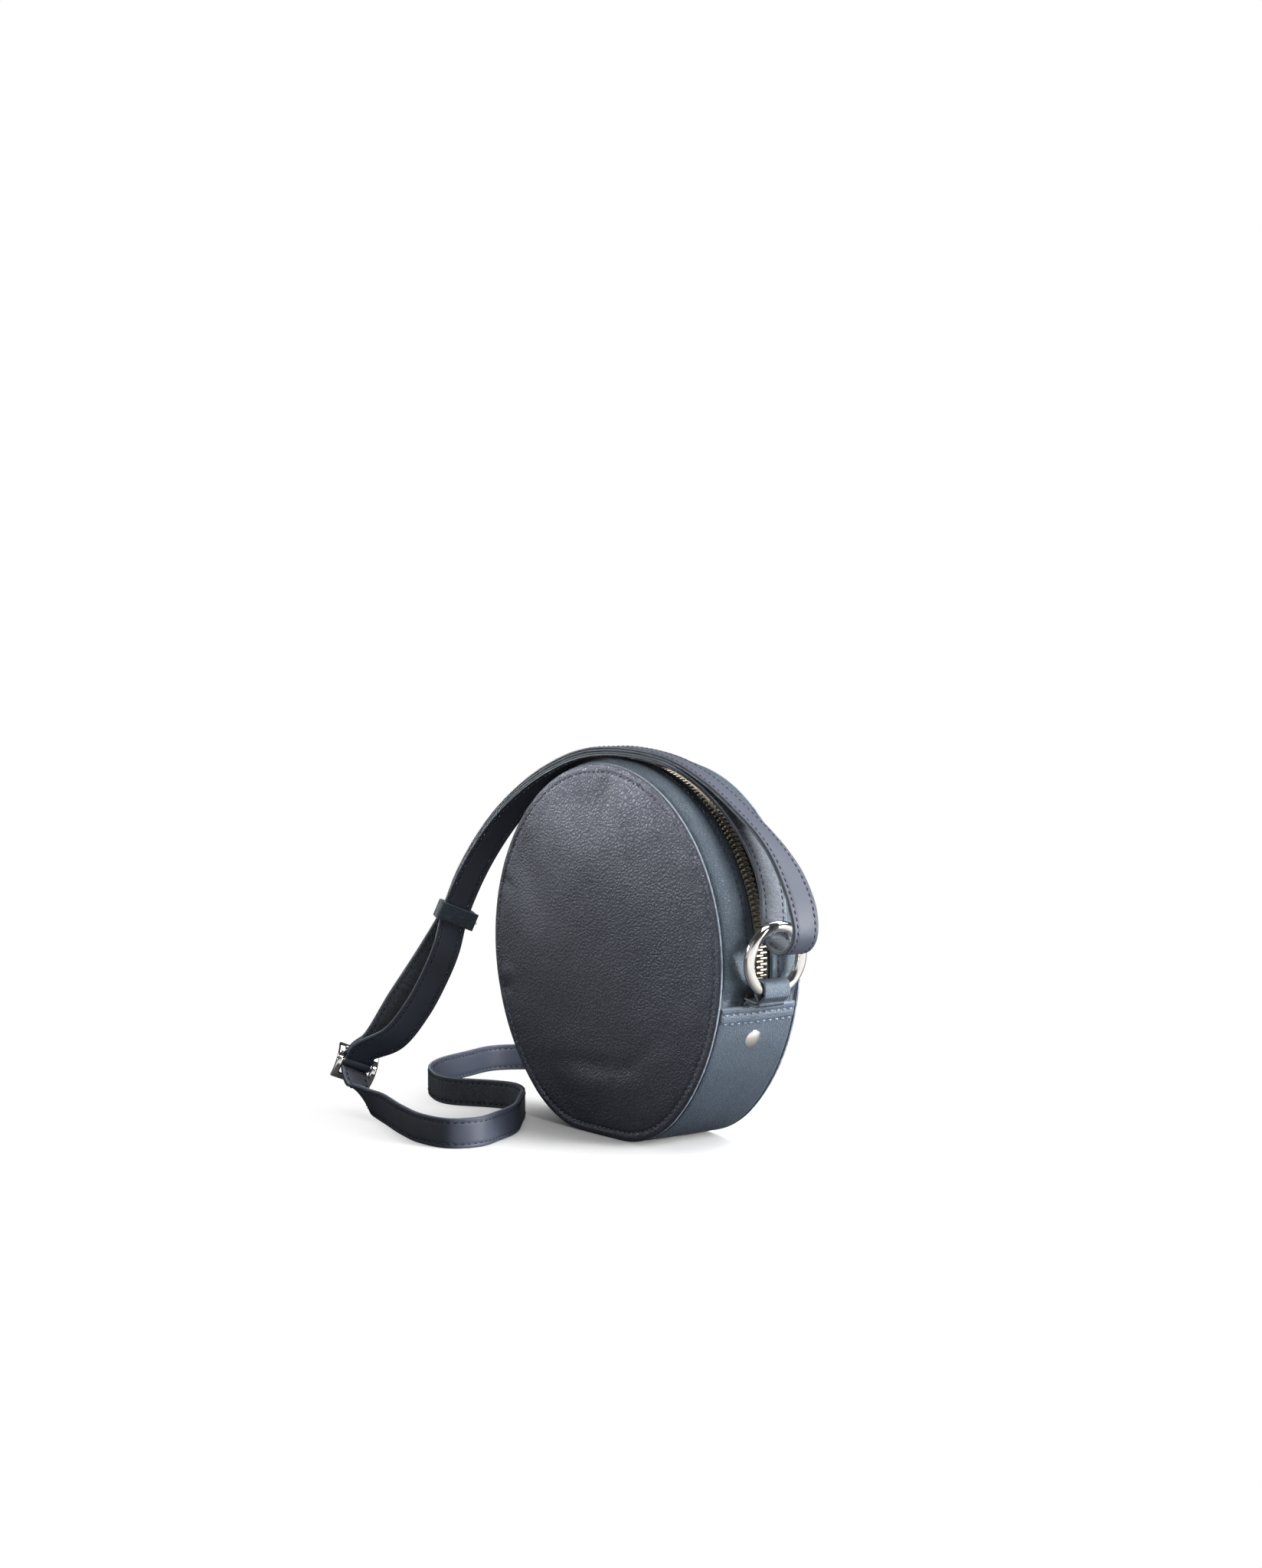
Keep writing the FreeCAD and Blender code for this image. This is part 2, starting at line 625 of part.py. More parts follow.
# angle, lift share, y share, width direction
pair_rows_shares = [
    (173.5, 0.031, -0.489, (0.29, 0.84, -0.455)),
    (162.4, 0.014, -0.433, (0.25, 0.88, -0.38)),
    (151.8, 0.011, -0.372, (0.20, 0.92, -0.30)),
    (140.0, 0.014, -0.303, (0.15, 0.95, -0.20)),
    (126.3, 0.016, -0.228, (0.08, 0.98, -0.10)),
    (115.9, 0.012, -0.194, (0.04, 0.99, -0.05)),
    (103.5, 0.011, -0.166, (0.02, 1.00, -0.02)),
    (91.2, 0.010, -0.139, (0.00, 1.00, 0.00)),
    (75.3, 0.022, -0.100, (-0.02, 1.00, -0.08)),
    (65.0, 0.038, -0.066, (-0.06, 0.98, -0.14)),
]
inner_rows_shares = [
    (55.0, 0.036, -0.010, (-0.05, 1.00, -0.07)),
    (42.0, 0.036, 0.038, (0.00, 1.00, 0.00)),
    (30.0, 0.040, 0.058, (0.00, 1.00, 0.00)),
    (21.0, 0.044, 0.052, (0.00, 1.00, 0.00)),
]
outer_rows_shares = [
    (14.2, 0.283, 0.020, (0.16, 0.99, 0.00)),
    (21.1, 0.242, 0.028, (0.06, 1.00, 0.00)),
    (27.1, 0.209, 0.020, (-0.12, 0.99, -0.05)),
    (32.9, 0.173, 0.009, (-0.20, 0.97, -0.11)),
    (39.3, 0.133, -0.004, (-0.20, 0.97, -0.15)),
    (53.0, 0.086, -0.035, (-0.12, 0.98, -0.17)),
]
# x share, y share, z share, width direction
inner_drop_shares = [
    (-1.240, -0.789, 0.422, (0.35, 0.79, -0.50)),
    (-1.156, -0.689, 0.583, (0.34, 0.80, -0.49)),
    (-1.100, -0.606, 0.767, (0.32, 0.82, -0.48)),
    (-1.060, -0.556, 0.922, (0.30, 0.83, -0.47)),
]
outer_drop_shares = [
    (-1.178, -0.594, 0.872, (0.30, 0.83, -0.47)),
    (-1.278, -0.722, 0.622, (0.32, 0.81, -0.49)),
    (-1.383, -0.833, 0.378, (0.34, 0.80, -0.50)),
]
buckle_turn_shares = (-1.497, -0.894, 0.243, (0.34, 0.79, -0.51))
tail_start_shares = [
    (-1.333, -0.956, 0.128, (0.25, 0.65, -0.72)),
    (-1.200, -0.978, 0.094, (0.10, 0.30, -0.95)),
]
# x share, y share of the tail where it stands on its edge
floor_rows_shares = [
    (-1.044, -0.989), (-0.656, -1.100), (-0.400, -1.144), (-0.200, -1.100), (-0.144, -0.956),
    (-0.222, -0.778), (-0.333, -0.600), (-0.533, -0.422), (-0.733, -0.267), (-0.889, -0.222),
    (-1.022, -0.267), (-1.233, -0.400), (-1.333, -0.411), (-1.489, -0.367), (-1.689, -0.256),
    (-1.856, -0.078), (-1.978, 0.200), (-2.056, 0.444), (-1.967, 0.633), (-1.778, 0.800),
    (-1.533, 0.778), (-1.356, 0.589),
]
tail_rise_shares = [
    (-1.250, 0.345, 0.100, (0.05, -0.35, -0.93)),
    (-1.135, 0.165, 0.160, (0.10, -0.75, -0.60)),
    (-1.035, 0.040, 0.262, (0.05, -0.97, -0.20)),
]


def on_bag(row, layer_share):
    """A strap point above the crest; the layer share counts strap thicknesses from the underside."""
    degrees, lift_share, y_share, width = row
    lift = lift_share * s.panel_radius + layer_share * strap
    return polar(crest_radius + lift, degrees, y_share * s.panel_radius), Vector(*width)


def in_space(row):
    return Vector(*row[:3]) * s.panel_radius, Vector(*row[3])


def spaced_pair(rows, side):
    """Both runs of the doubled strap from one middle line, half a thickness and half a gap apart."""
    middle = [on_bag(row, 1) for row in rows]
    points = []
    for index, (point, width) in enumerate(middle):
        along = middle[min(index + 1, len(middle) - 1)][0] - middle[max(index - 1, 0)][0]
        outward = along.cross(width).normalize()
        points.append((point + outward * side * (strap + s.strap_gap) / 2, width))
    return points


ring_top = ring_ways["right"][0] + ring_ways["right"][1] * 2 * s.ring_radius
loop_inner = s.ring_wire / 2 + s.loop_inner_gap + strap / 2
loop_radius = (loop_inner + s.loop_reach) / 2
loop_y = outer_rows_shares[0][2] * s.panel_radius
loop_centre = ring_top + Vector(s.loop_reach - loop_radius, loop_y, -s.loop_drop)
loop_angles = (180, 210, 240, 270, 300, 330, 360)
ring_loop = []
for angle in loop_angles:
    skew = Vector(0, s.loop_skew * (360 - angle) / 180, 0)
    ring_loop.append((around(loop_centre, loop_radius, angle) + skew, across))

buckle_turn = in_space(buckle_turn_shares)
last_drop = in_space(outer_drop_shares[-1])
tail_start = [in_space(row) for row in tail_start_shares]
floor_height = s.strap_width / 2 + s.strap_gap
floor_run = []
for x_share, y_share in floor_rows_shares:
    place = Vector(x_share * s.panel_radius, y_share * s.panel_radius, floor_height)
    floor_run.append((place, Vector(0, 0, -1)))

# The tail's end: round the hanging ring and sewn back on itself
ring_bottom = ring_ways["left"][0] + ring_ways["left"][1] * 2 * s.ring_radius
seam_half = (strap + s.strap_gap) / 2
neck_point = ring_bottom - Vector(0, 0, s.end_loop_neck)
end_loop_angles = (200, 150, 90, 30, -20)
end_loop = [(neck_point - Vector(seam_half, 0, 0), -across)]
for angle in end_loop_angles:
    end_loop.append((around(ring_bottom, s.end_loop_radius, angle), -across))
end_loop.append((neck_point + Vector(seam_half, 0, 0), -across))
end_loop.append((neck_point + Vector(seam_half, 0, -s.end_loop_tail), -across))

# The buckle's frame: travel direction, bar direction and the way toward the bar
buckle_along = (tail_start[0][0] - last_drop[0]).normalize()
buckle_across = (buckle_turn[1] - buckle_along * buckle_turn[1].dot(buckle_along)).normalize()
buckle_toward = buckle_along.cross(buckle_across)
sleeve_radius = s.buckle_bar / 2 + s.rivet_gap + s.strap_layer
bar_point = buckle_turn[0] + buckle_toward * (sleeve_radius + 2 * s.buckle_slack + strap / 2)
inner_drop = [in_space(row) for row in inner_drop_shares]
bar_way = inner_drop[0][0] - bar_point
bar_way = (bar_way - buckle_across * bar_way.dot(buckle_across)).normalize()
sewn_end = [(bar_point + bar_way * reach, buckle_across) for reach in (sleeve_radius, s.buckle_length / 2)]
through_rise = s.buckle_bow + strap
through_reach = s.buckle_length / 2 - s.buckle_cross
through = []
for way in (-1, 1):
    place = buckle_turn[0] + buckle_along * (way * through_reach) + buckle_toward * through_rise
    through.append((place, buckle_across))

middle_share = 0.5
doubled_rows = [*sewn_end, *inner_drop, *spaced_pair(pair_rows_shares, -1)]
doubled_rows += [on_bag(row, middle_share) for row in inner_rows_shares]
doubled_rows += ring_loop
doubled_rows += [on_bag(row, middle_share) for row in outer_rows_shares]
doubled_rows += reversed(spaced_pair(pair_rows_shares, 1))
doubled_rows += [in_space(row) for row in outer_drop_shares]
doubled_rows += [through[0], buckle_turn, through[1], tail_start[0]]
tail_rows = [*tail_start[1:], *floor_run]
tail_rows += [in_space(row) for row in tail_rise_shares]
tail_rows += end_loop
SPAN_STEPS = 4


def blended(a, b, share):
    return a * (1 - share) + b * share


def smooth_route(rows):
    """Stations along a route: a curve through its points with each point's own width direction."""
    points = [row[0] for row in rows]
    points = [points[0] * 2 - points[1], *points, points[-1] * 2 - points[-2]]
    places, widths = [], []
    for index in range(1, len(points) - 2):
        knots = [0.0]
        for a, b in zip(points[index - 1:index + 2], points[index:index + 3]):
            knots.append(knots[-1] + math.sqrt(a.distanceToPoint(b)))
        for step in range(SPAN_STEPS):
            at = knots[1] + (knots[2] - knots[1]) * step / SPAN_STEPS
            level = points[index - 1:index + 3]
            for width in (1, 2, 2):
                spans = [(knots[i], knots[i + width]) for i in range(len(level) - 1)]
                if len(level) == 2:
                    spans = [(knots[1], knots[2])]
                shares = [(at - low) / (high - low) for low, high in spans]
                level = [blended(*row) for row in zip(level, level[1:], shares)]
            places.append(level[0])
            widths.append(blended(rows[index - 1][1], rows[index][1], step / SPAN_STEPS))
    places.append(points[-2])
    widths.append(rows[-1][1])
    stations = []
    for index, place in enumerate(places):
        along = places[min(index + 1, len(places) - 1)] - places[max(index - 1, 0)]
        along.normalize()
        width = widths[index] - along * widths[index].dot(along)
        width.normalize()
        stations.append((place, width, along.cross(width)))
    return stations


def strap_sheet(stations, low, high):
    """One leather layer between two heights off the strap's middle."""
    wires = []
    for place, width, up in stations:
        half = width * (s.strap_width / 2)
        under, over = place + up * low, place + up * high
        corners = [under - half, under + half, over + half, over - half]
        wires.append(Part.makePolygon([*corners, corners[0]]))
    return Part.makeLoft(wires, True, True)


route = smooth_route(doubled_rows + tail_rows)
split = (len(doubled_rows) - 1) * SPAN_STEPS
doubled_route, tail_route = route[:split + 1], route[split:]
sleeve_start = bar_point - buckle_across * (s.strap_width / 2)
sleeve_core = Part.makeCylinder(sleeve_radius, s.strap_width, sleeve_start, buckle_across)
bar_hole = Part.makeCylinder(s.buckle_bar / 2 + s.rivet_gap, s.strap_width, sleeve_start, buckle_across)
for run, stations in (("doubled", doubled_route), ("tail", tail_route)):
    face_layer = strap_sheet(stations, -s.strap_layer, 0)
    if run == "doubled":
        face_layer = face_layer.fuse(sleeve_core).cut(bar_hole)
    node(shape_object("strap_%s_face" % run, face_layer), "strap_%s_face" % run)
    lining_layer = strap_sheet(stations, 0, s.strap_layer)
    if run == "doubled":
        lining_layer = lining_layer.cut(sleeve_core)
    node(shape_object("strap_%s_lining" % run, lining_layer), "strap_%s_lining" % run)
    places = [station[0] for station in stations]
    length = sum(a.distanceToPoint(b) for a, b in zip(places, places[1:]))
    print("strap %s: %.0f mm long, layer volume %.0f against %.0f" % (
        run, length, face_layer.Volume, length * s.strap_width * s.strap_layer))

# Slide buckle: a bowed frame with a window, and a bar for the sewn end
buckle_frame_placement = Placement(Matrix(
    buckle_along.x, buckle_across.x, buckle_toward.x, bar_point.x,
    buckle_along.y, buckle_across.y, buckle_toward.y, bar_point.y,
    buckle_along.z, buckle_across.z, buckle_toward.z, bar_point.z))
window_width = "(strap_width + 2 * buckle_slack)"
buckle = doc.addObject("PartDesign::Body", "buckle_frame")
bow_sketch = sketch_in(buckle, "buckle_bow_section", "XZ_Plane", [
    ("-buckle_length / 2", "buckle_thickness / 2 - buckle_bow"),
    ("buckle_length / 2", "buckle_thickness / 2 - buckle_bow"),
    ("buckle_length / 2", "-buckle_thickness / 2 - buckle_bow"),
    ("-buckle_length / 2", "-buckle_thickness / 2 - buckle_bow"),
], {0: ("0", "buckle_thickness / 2"), 2: ("0", "-buckle_thickness / 2")})
plate = buckle.newObject("PartDesign::Pad", "buckle_plate")
plate.Profile = bow_sketch
plate.Midplane = True
bind(plate, "Length", window_width + " + 2 * buckle_side")
doc.recompute()
solid_plate = plate.Shape.Volume
window_end = "(buckle_length / 2 - buckle_cross)"
window = buckle.newObject("PartDesign::Pocket", "buckle_window")
window.Profile = sketch_in(buckle, "buckle_window_outline", "XY_Plane", [
    ("-" + window_end, "-" + window_width + " / 2"), (window_end, "-" + window_width + " / 2"),
    (window_end, window_width + " / 2"), ("-" + window_end, window_width + " / 2")])
window.Midplane = True
bind(window, "Length", "4 * (buckle_bow + buckle_thickness)")
doc.recompute()
if window.Shape.Volume >= solid_plate:
    raise RuntimeError("the buckle window cuts nothing")
rounding = buckle.newObject("PartDesign::Fillet", "buckle_rounding")
rounding.Base = (window, ["Face%d" % number for number in range(1, len(window.Shape.Faces) + 1)])
bind(rounding, "Radius", "buckle_round")
buckle.Placement = buckle_frame_placement
node(buckle, "buckle_frame")
node(rod("buckle_bar", "buckle_bar / 2", window_width, bar_point, buckle_across), "buckle_bar")

# Keeper: a leather loop round both runs with an overlapped end and its staple
keeper_station = on_bag(pair_rows_shares[0], 1)
keeper_next = on_bag(pair_rows_shares[1], 1)[0]
keeper_last = in_space(inner_drop_shares[-1])[0]
keeper_low = (keeper_last + in_space(outer_drop_shares[0])[0]) / 2
keeper_along = (keeper_next - keeper_low).normalize()
keeper_across = (keeper_station[1] - keeper_along * keeper_station[1].dot(keeper_along)).normalize()
keeper_out = keeper_along.cross(keeper_across)
keeper_placement = Placement(Matrix(
    keeper_along.x, keeper_across.x, keeper_out.x, keeper_station[0].x,
    keeper_along.y, keeper_across.y, keeper_out.y, keeper_station[0].y,
    keeper_along.z, keeper_across.z, keeper_out.z, keeper_station[0].z))
opening_half_width = "(strap_width / 2 + keeper_slack)"
opening_half_height = "(2 * strap_layer + strap_gap / 2 + keeper_slack)"
keeper = doc.addObject("PartDesign::Body", "strap_keeper")


def rectangle(half_width, half_height):
    return [("-" + half_width, "-" + half_height), (half_width, "-" + half_height),
            (half_width, half_height), ("-" + half_width, half_height)]


keeper_pad = keeper.newObject("PartDesign::Pad", "keeper_block")
keeper_pad.Profile = sketch_in(keeper, "keeper_outer", "YZ_Plane", rectangle(
    "(%s + keeper_leather)" % opening_half_width, "(%s + keeper_leather)" % opening_half_height))
keeper_pad.Midplane = True
bind(keeper_pad, "Length", "keeper_length")
flap = keeper.newObject("PartDesign::Pad", "keeper_flap_pad")
flap_low = "-(%s + keeper_leather)" % opening_half_height
flap.Profile = sketch_in(keeper, "keeper_flap_section", "YZ_Plane", [
    ("strap_width / 2", flap_low),
    (opening_half_width + " + keeper_leather + keeper_flap", flap_low),
    (opening_half_width + " + keeper_leather + keeper_flap", flap_low + " + keeper_leather"),
    ("strap_width / 2", flap_low + " + keeper_leather")])
flap.Midplane = True
bind(flap, "Length", "keeper_length")
doc.recompute()
solid_keeper = flap.Shape.Volume
keeper_hole = keeper.newObject("PartDesign::Pocket", "keeper_opening")
keeper_hole.Profile = sketch_in(keeper, "keeper_inner", "YZ_Plane",
                                rectangle(opening_half_width, opening_half_height))
keeper_hole.Midplane = True
bind(keeper_hole, "Length", "keeper_length + overrun")
doc.recompute()
if keeper_hole.Shape.Volume >= solid_keeper:
    raise RuntimeError("the keeper opening cuts nothing")
keeper.Placement = keeper_placement
node(keeper, "strap_keeper")
staple = doc.addObject("Part::Box", "keeper_staple")
bind(staple, "Length", "staple_length")
bind(staple, "Width", "staple_wire")
bind(staple, "Height", "staple_wire")
staple_y = evaluate(opening_half_width + " + keeper_leather") + (s.keeper_flap - s.staple_wire) / 2
staple_corner = Vector(-s.staple_length / 2, staple_y, evaluate(flap_low + " - staple_wire"))
staple.Placement = keeper_placement * Placement(staple_corner, Rotation())
node(staple, "keeper_staple")

# Check every piece, then write one file per node
doc.recompute()
failed = [obj.Name for obj in doc.Objects if "Invalid" in obj.State or "Error" in obj.State]
if failed:
    raise RuntimeError("failed features: " + ", ".join(failed))
os.makedirs("parts", exist_ok=True)
for piece in nodes:
    if piece.Shape.isNull() or not piece.Shape.isValid() or not piece.Shape.Solids:
        raise RuntimeError("bad shape: " + piece.Label)
for piece in nodes:
    piece.Shape.exportStep("parts/%s.step" % piece.Label)
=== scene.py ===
import math

import bpy
import numpy as np
from bpy.props import FloatProperty, FloatVectorProperty, PointerProperty
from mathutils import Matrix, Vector, noise


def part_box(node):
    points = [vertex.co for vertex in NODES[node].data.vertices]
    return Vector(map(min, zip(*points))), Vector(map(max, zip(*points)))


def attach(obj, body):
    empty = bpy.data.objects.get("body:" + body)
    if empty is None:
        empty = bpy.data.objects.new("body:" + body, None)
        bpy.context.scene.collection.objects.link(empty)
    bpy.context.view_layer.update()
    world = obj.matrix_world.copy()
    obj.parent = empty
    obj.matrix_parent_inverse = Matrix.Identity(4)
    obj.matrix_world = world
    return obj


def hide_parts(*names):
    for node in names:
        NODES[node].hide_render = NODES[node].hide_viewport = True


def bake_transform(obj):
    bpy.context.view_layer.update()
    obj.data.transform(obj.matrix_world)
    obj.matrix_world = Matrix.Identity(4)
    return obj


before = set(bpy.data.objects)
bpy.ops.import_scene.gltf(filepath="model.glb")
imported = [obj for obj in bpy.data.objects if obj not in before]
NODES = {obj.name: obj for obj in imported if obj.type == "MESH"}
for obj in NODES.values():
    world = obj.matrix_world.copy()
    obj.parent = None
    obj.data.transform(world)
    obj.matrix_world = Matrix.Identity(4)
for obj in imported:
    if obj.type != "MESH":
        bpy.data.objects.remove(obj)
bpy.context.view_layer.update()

bl_info = {
    "name": "Circle Bag",
    "version": (1, 0, 0),
    "blender": (4, 5, 0),
    "location": "View3D > Sidebar > Circle Bag",
    "description": "Dresses a round leather shoulder bag: shell, zip, trims, strap and stage",
    "category": "Object",
}

MM = 0.001
PANEL_LOW, PANEL_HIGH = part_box("front_panel")


def length(label, words, default):
    return FloatProperty(
        name=label, description=words, default=default, min=0.0, precision=4, unit="LENGTH")


def colour(label, words, default):
    return FloatVectorProperty(
        name=label, description=words, default=default, size=4, min=0.0, max=1.0, subtype="COLOR")


def factor(label, words, default, top=1.0):
    return FloatProperty(name=label, description=words, default=default, min=0.0, max=top)


def power(label, words, default):
    return FloatProperty(name=label, description=words, default=default, min=0.0, unit="POWER")


class BagShellSizes(bpy.types.PropertyGroup):
    """Sizes of the leather shell"""

    panel_radius: length("Panel Radius", "Radius of the round panels", (PANEL_HIGH.x - PANEL_LOW.x) / 2)
    half_depth: length("Half Depth", "From the middle of the bag to a panel's edge", 24 * MM)
    panel_dome: length("Panel Dome", "How far the middle of a panel stands out", 4 * MM)
    leather: length("Leather", "Thickness of the shell leather", 1.4 * MM)
    stitch_inset: length("Stitch Inset", "From a panel's edge to its stitches", 4 * MM)
    stitch_pitch: length("Stitch Pitch", "Distance between stitches", 3.5 * MM)
    dent: length("Dent", "Depth of the soft dents in the leather", 0.55 * MM)


class BagStrapSizes(bpy.types.PropertyGroup):
    """Sizes of the strap"""

    width: length("Width", "Width of the strap", 14 * MM)
    layer: length("Layer", "Thickness of each of the two layers", 1.1 * MM)
    gap: length("Gap", "Room between the two runs over the bag", 0.2 * MM)
    stitch_inset: length("Stitch Inset", "From the strap's edge to its stitches", 2 * MM)
    stitch_pitch: length("Stitch Pitch", "Distance between stitches", 3.2 * MM)
    wrinkle: length("Wrinkle", "Height of the wrinkles on the lining side", 0.34 * MM)


class BagFinish(bpy.types.PropertyGroup):
    """Colours and gloss"""

    leather: colour("Leather", "Leather of the shell", (0.047, 0.062, 0.088, 1))
    panel: colour("Panel Leather", "Leather of the two round panels", (0.022, 0.025, 0.039, 1))
    strap: colour("Strap", "Good side of the strap", (0.022, 0.030, 0.038, 1))
    strap_lining: colour("Strap Lining", "Wrinkled side of the strap", (0.125, 0.130, 0.155, 1))
    cut_edge: colour("Cut Edge", "Bare edge of the leather", (0.22, 0.26, 0.31, 1))
    thread: colour("Thread", "Sewing thread", (0.014, 0.018, 0.034, 1))
    hem_thread: colour("Hem Thread", "Sewing thread of the hems", (0.17, 0.21, 0.29, 1))
    lining: colour("Lining", "Woven lining", (0.045, 0.046, 0.055, 1))
    tape: colour("Zip Tape", "Woven zip tape", (0.010, 0.010, 0.012, 1))
    nickel: colour("Nickel", "Rings, rivets and buckle", (0.80, 0.775, 0.745, 1))
    teeth: colour("Teeth", "Zip teeth and stops", (0.25, 0.22, 0.18, 1))
    slider: colour("Slider", "Zip sliders and pulls", (0.09, 0.085, 0.08, 1))
    leather_gloss: factor("Leather Roughness", "Roughness of the shell leather", 0.42)


class BagStage(bpy.types.PropertyGroup):
    """Lights and floor"""

    top_light: power("Top Light", "Power of the light overhead", 18.0)
    side_light: power("Side Light", "Power of the light on the ring side", 25.0)
    low_light: power("Low Light", "Power of the light low on the ring side", 0.22)
    back_light: power("Back Light", "Power of the light behind the ring side", 9.0)
    front_light: power("Front Light", "Power of the gleam on the front panel", 0.56)
    surround: factor("Surround", "Strength of the light from all round", 0.22, 10.0)
    floor_colour: colour("Floor", "Floor under the bag", (0.90, 0.90, 0.90, 1))


def shell():
    return bpy.context.scene.bag_shell


def strap_sizes():
    return bpy.context.scene.bag_strap


def finish():
    return bpy.context.scene.bag_finish


# Meshes


def mesh_piece(name, points, faces, lay, edge, material, flat=()):
    """A mesh piece with its lay in metres for the material, and a mask along its cut edges."""
    mesh = bpy.data.meshes.new(name)
    mesh.from_pydata(points.tolist(), [], faces)
    mesh.materials.append(material)
    smooth = np.ones(len(mesh.polygons), bool)
    smooth[list(flat)] = False
    mesh.polygons.foreach_set("use_smooth", smooth)
    corners = np.zeros(len(mesh.loops), np.int32)
    mesh.loops.foreach_get("vertex_index", corners)
    mesh.uv_layers.new(name="lay").data.foreach_set("uv", lay[corners].astype(np.float32).ravel())
    mask = mesh.attributes.new("cut_edge", "FLOAT", "POINT")
    mask.data.foreach_set("value", edge.astype(np.float32))
    mesh.update()
    piece = bpy.data.objects.new(name, mesh)
    bpy.context.scene.collection.objects.link(piece)
    return piece


def inside_out(points, quads):
    """True where the faces of a closed grid look inward."""
    a, b, c, d = (points[quads[:, i]] for i in range(4))
    return np.sum(a * (np.cross(b, c) + np.cross(c, d))) < 0


def lay_grid(along, across):
    """The lay of a swept skin: metres along it and metres round its section."""
    return np.stack(np.broadcast_arrays(along[:, None], across[None, :]), -1)


def tube_piece(name, grid, lay, material, edge=0.0, ring=False):
    """Closed sections swept into one skin: rows run along, columns run round the section."""
    rows, columns = grid.shape[:2]
    index = np.arange(rows * columns).reshape(rows, columns)
    here, there = (index, np.roll(index, -1, 0)) if ring else (index[:-1], index[1:])
    quads = np.stack([here, there, np.roll(there, -1, 1), np.roll(here, -1, 1)], -1).reshape(-1, 4)
    points = grid.reshape(-1, 3)
    flip = inside_out(points - points.mean(0), quads)
    if flip:
        quads = quads[:, ::-1]
    faces = quads.tolist()
    flat = []
    if not ring:
        caps = [index[0].tolist(), index[-1][::-1].tolist()]
        flat = [len(faces), len(faces) + 1]
        faces += [cap[::-1] for cap in caps] if flip else caps
    edge = np.broadcast_to(edge, (rows, columns)).reshape(-1)
    return mesh_piece(name, points, faces, lay.reshape(-1, 2), edge, material, flat)


def sew_to_bag(piece, node_name):
    """Fix a piece to the bag in the place of a solid of the frame."""
    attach(piece, "bag")
    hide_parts(node_name)


def run_length(points):
    """Distance along a line of points, starting at zero."""
    steps = np.linalg.norm(np.diff(points, axis=0), axis=1)
    return np.concatenate([[0.0], np.cumsum(steps)])


def read_along(places, along, values):
    """Rows of values read at places along a line."""
    return np.stack([np.interp(places, along, column) for column in values.T], -1)


def unit(vectors):
    return vectors / np.linalg.norm(vectors, axis=-1, keepdims=True)


def square_to(way, vectors):
    """Unit vectors square to a way, as near as can be to those given."""
    return unit(vectors - way * np.sum(vectors * way, -1, keepdims=True))


def with_guides(points):
    """Points with one more before the first and after the last, straight on."""
    return np.concatenate([2 * points[:1] - points[1:2], points, 2 * points[-1:] - points[-2:-1]])


def curve_through(points, steps):
    """A smooth line through points, with so many steps between each two."""
    points = np.asarray(points, float)
    guide = with_guides(points)
    share = np.linspace(0, 1, steps, endpoint=False)[:, None]
    line = []
    for a, b, c, d in zip(guide, guide[1:], guide[2:], guide[3:]):
        line.append(0.5 * (2 * b + (c - a) * share + (2 * a - 5 * b + 4 * c - d) * share ** 2
                           + (3 * b - a - 3 * c + d) * share ** 3))
    return np.concatenate([*line, points[-1:]])


RIPPLE_SHIFTS = (7.31, 3.17, 5.53)


def ripple(places, scale, seed):
    """Smooth noise from -1 to 1 at places, at a scale in metres."""
    shift = Vector([seed * step for step in RIPPLE_SHIFTS])
    return np.array([noise.noise(Vector(place) / scale + shift) for place in places.tolist()])


def ripple_along(along, across, scale, seed):
    """Smooth noise over a skin laid out flat."""
    across = np.broadcast_to(across, along.shape)
    return ripple(np.stack([along, across, np.zeros_like(along)], -1), scale, seed)


def hump(distance, width):
    return np.exp(-(distance / width) ** 2)


# Stitches

STITCH_RINGS = np.array([-1.0, -0.82, -0.4, 0.0, 0.4, 0.82, 1.0])
STITCH_GIRTH = np.array([0.35, 0.8, 1.0, 1.0, 1.0, 0.8, 0.35])
STITCH_RISE = np.array([-0.9, -0.15, 0.35, 0.45, 0.35, -0.15, -0.9])
STITCH_SIDES = 6
STITCH_REACH_SHARE = 0.66
STITCH_SLANT = 0.10
SHELL_THREAD, HEM_THREAD, STRAP_THREAD = 0.85 * MM, 1.0 * MM, 0.75 * MM


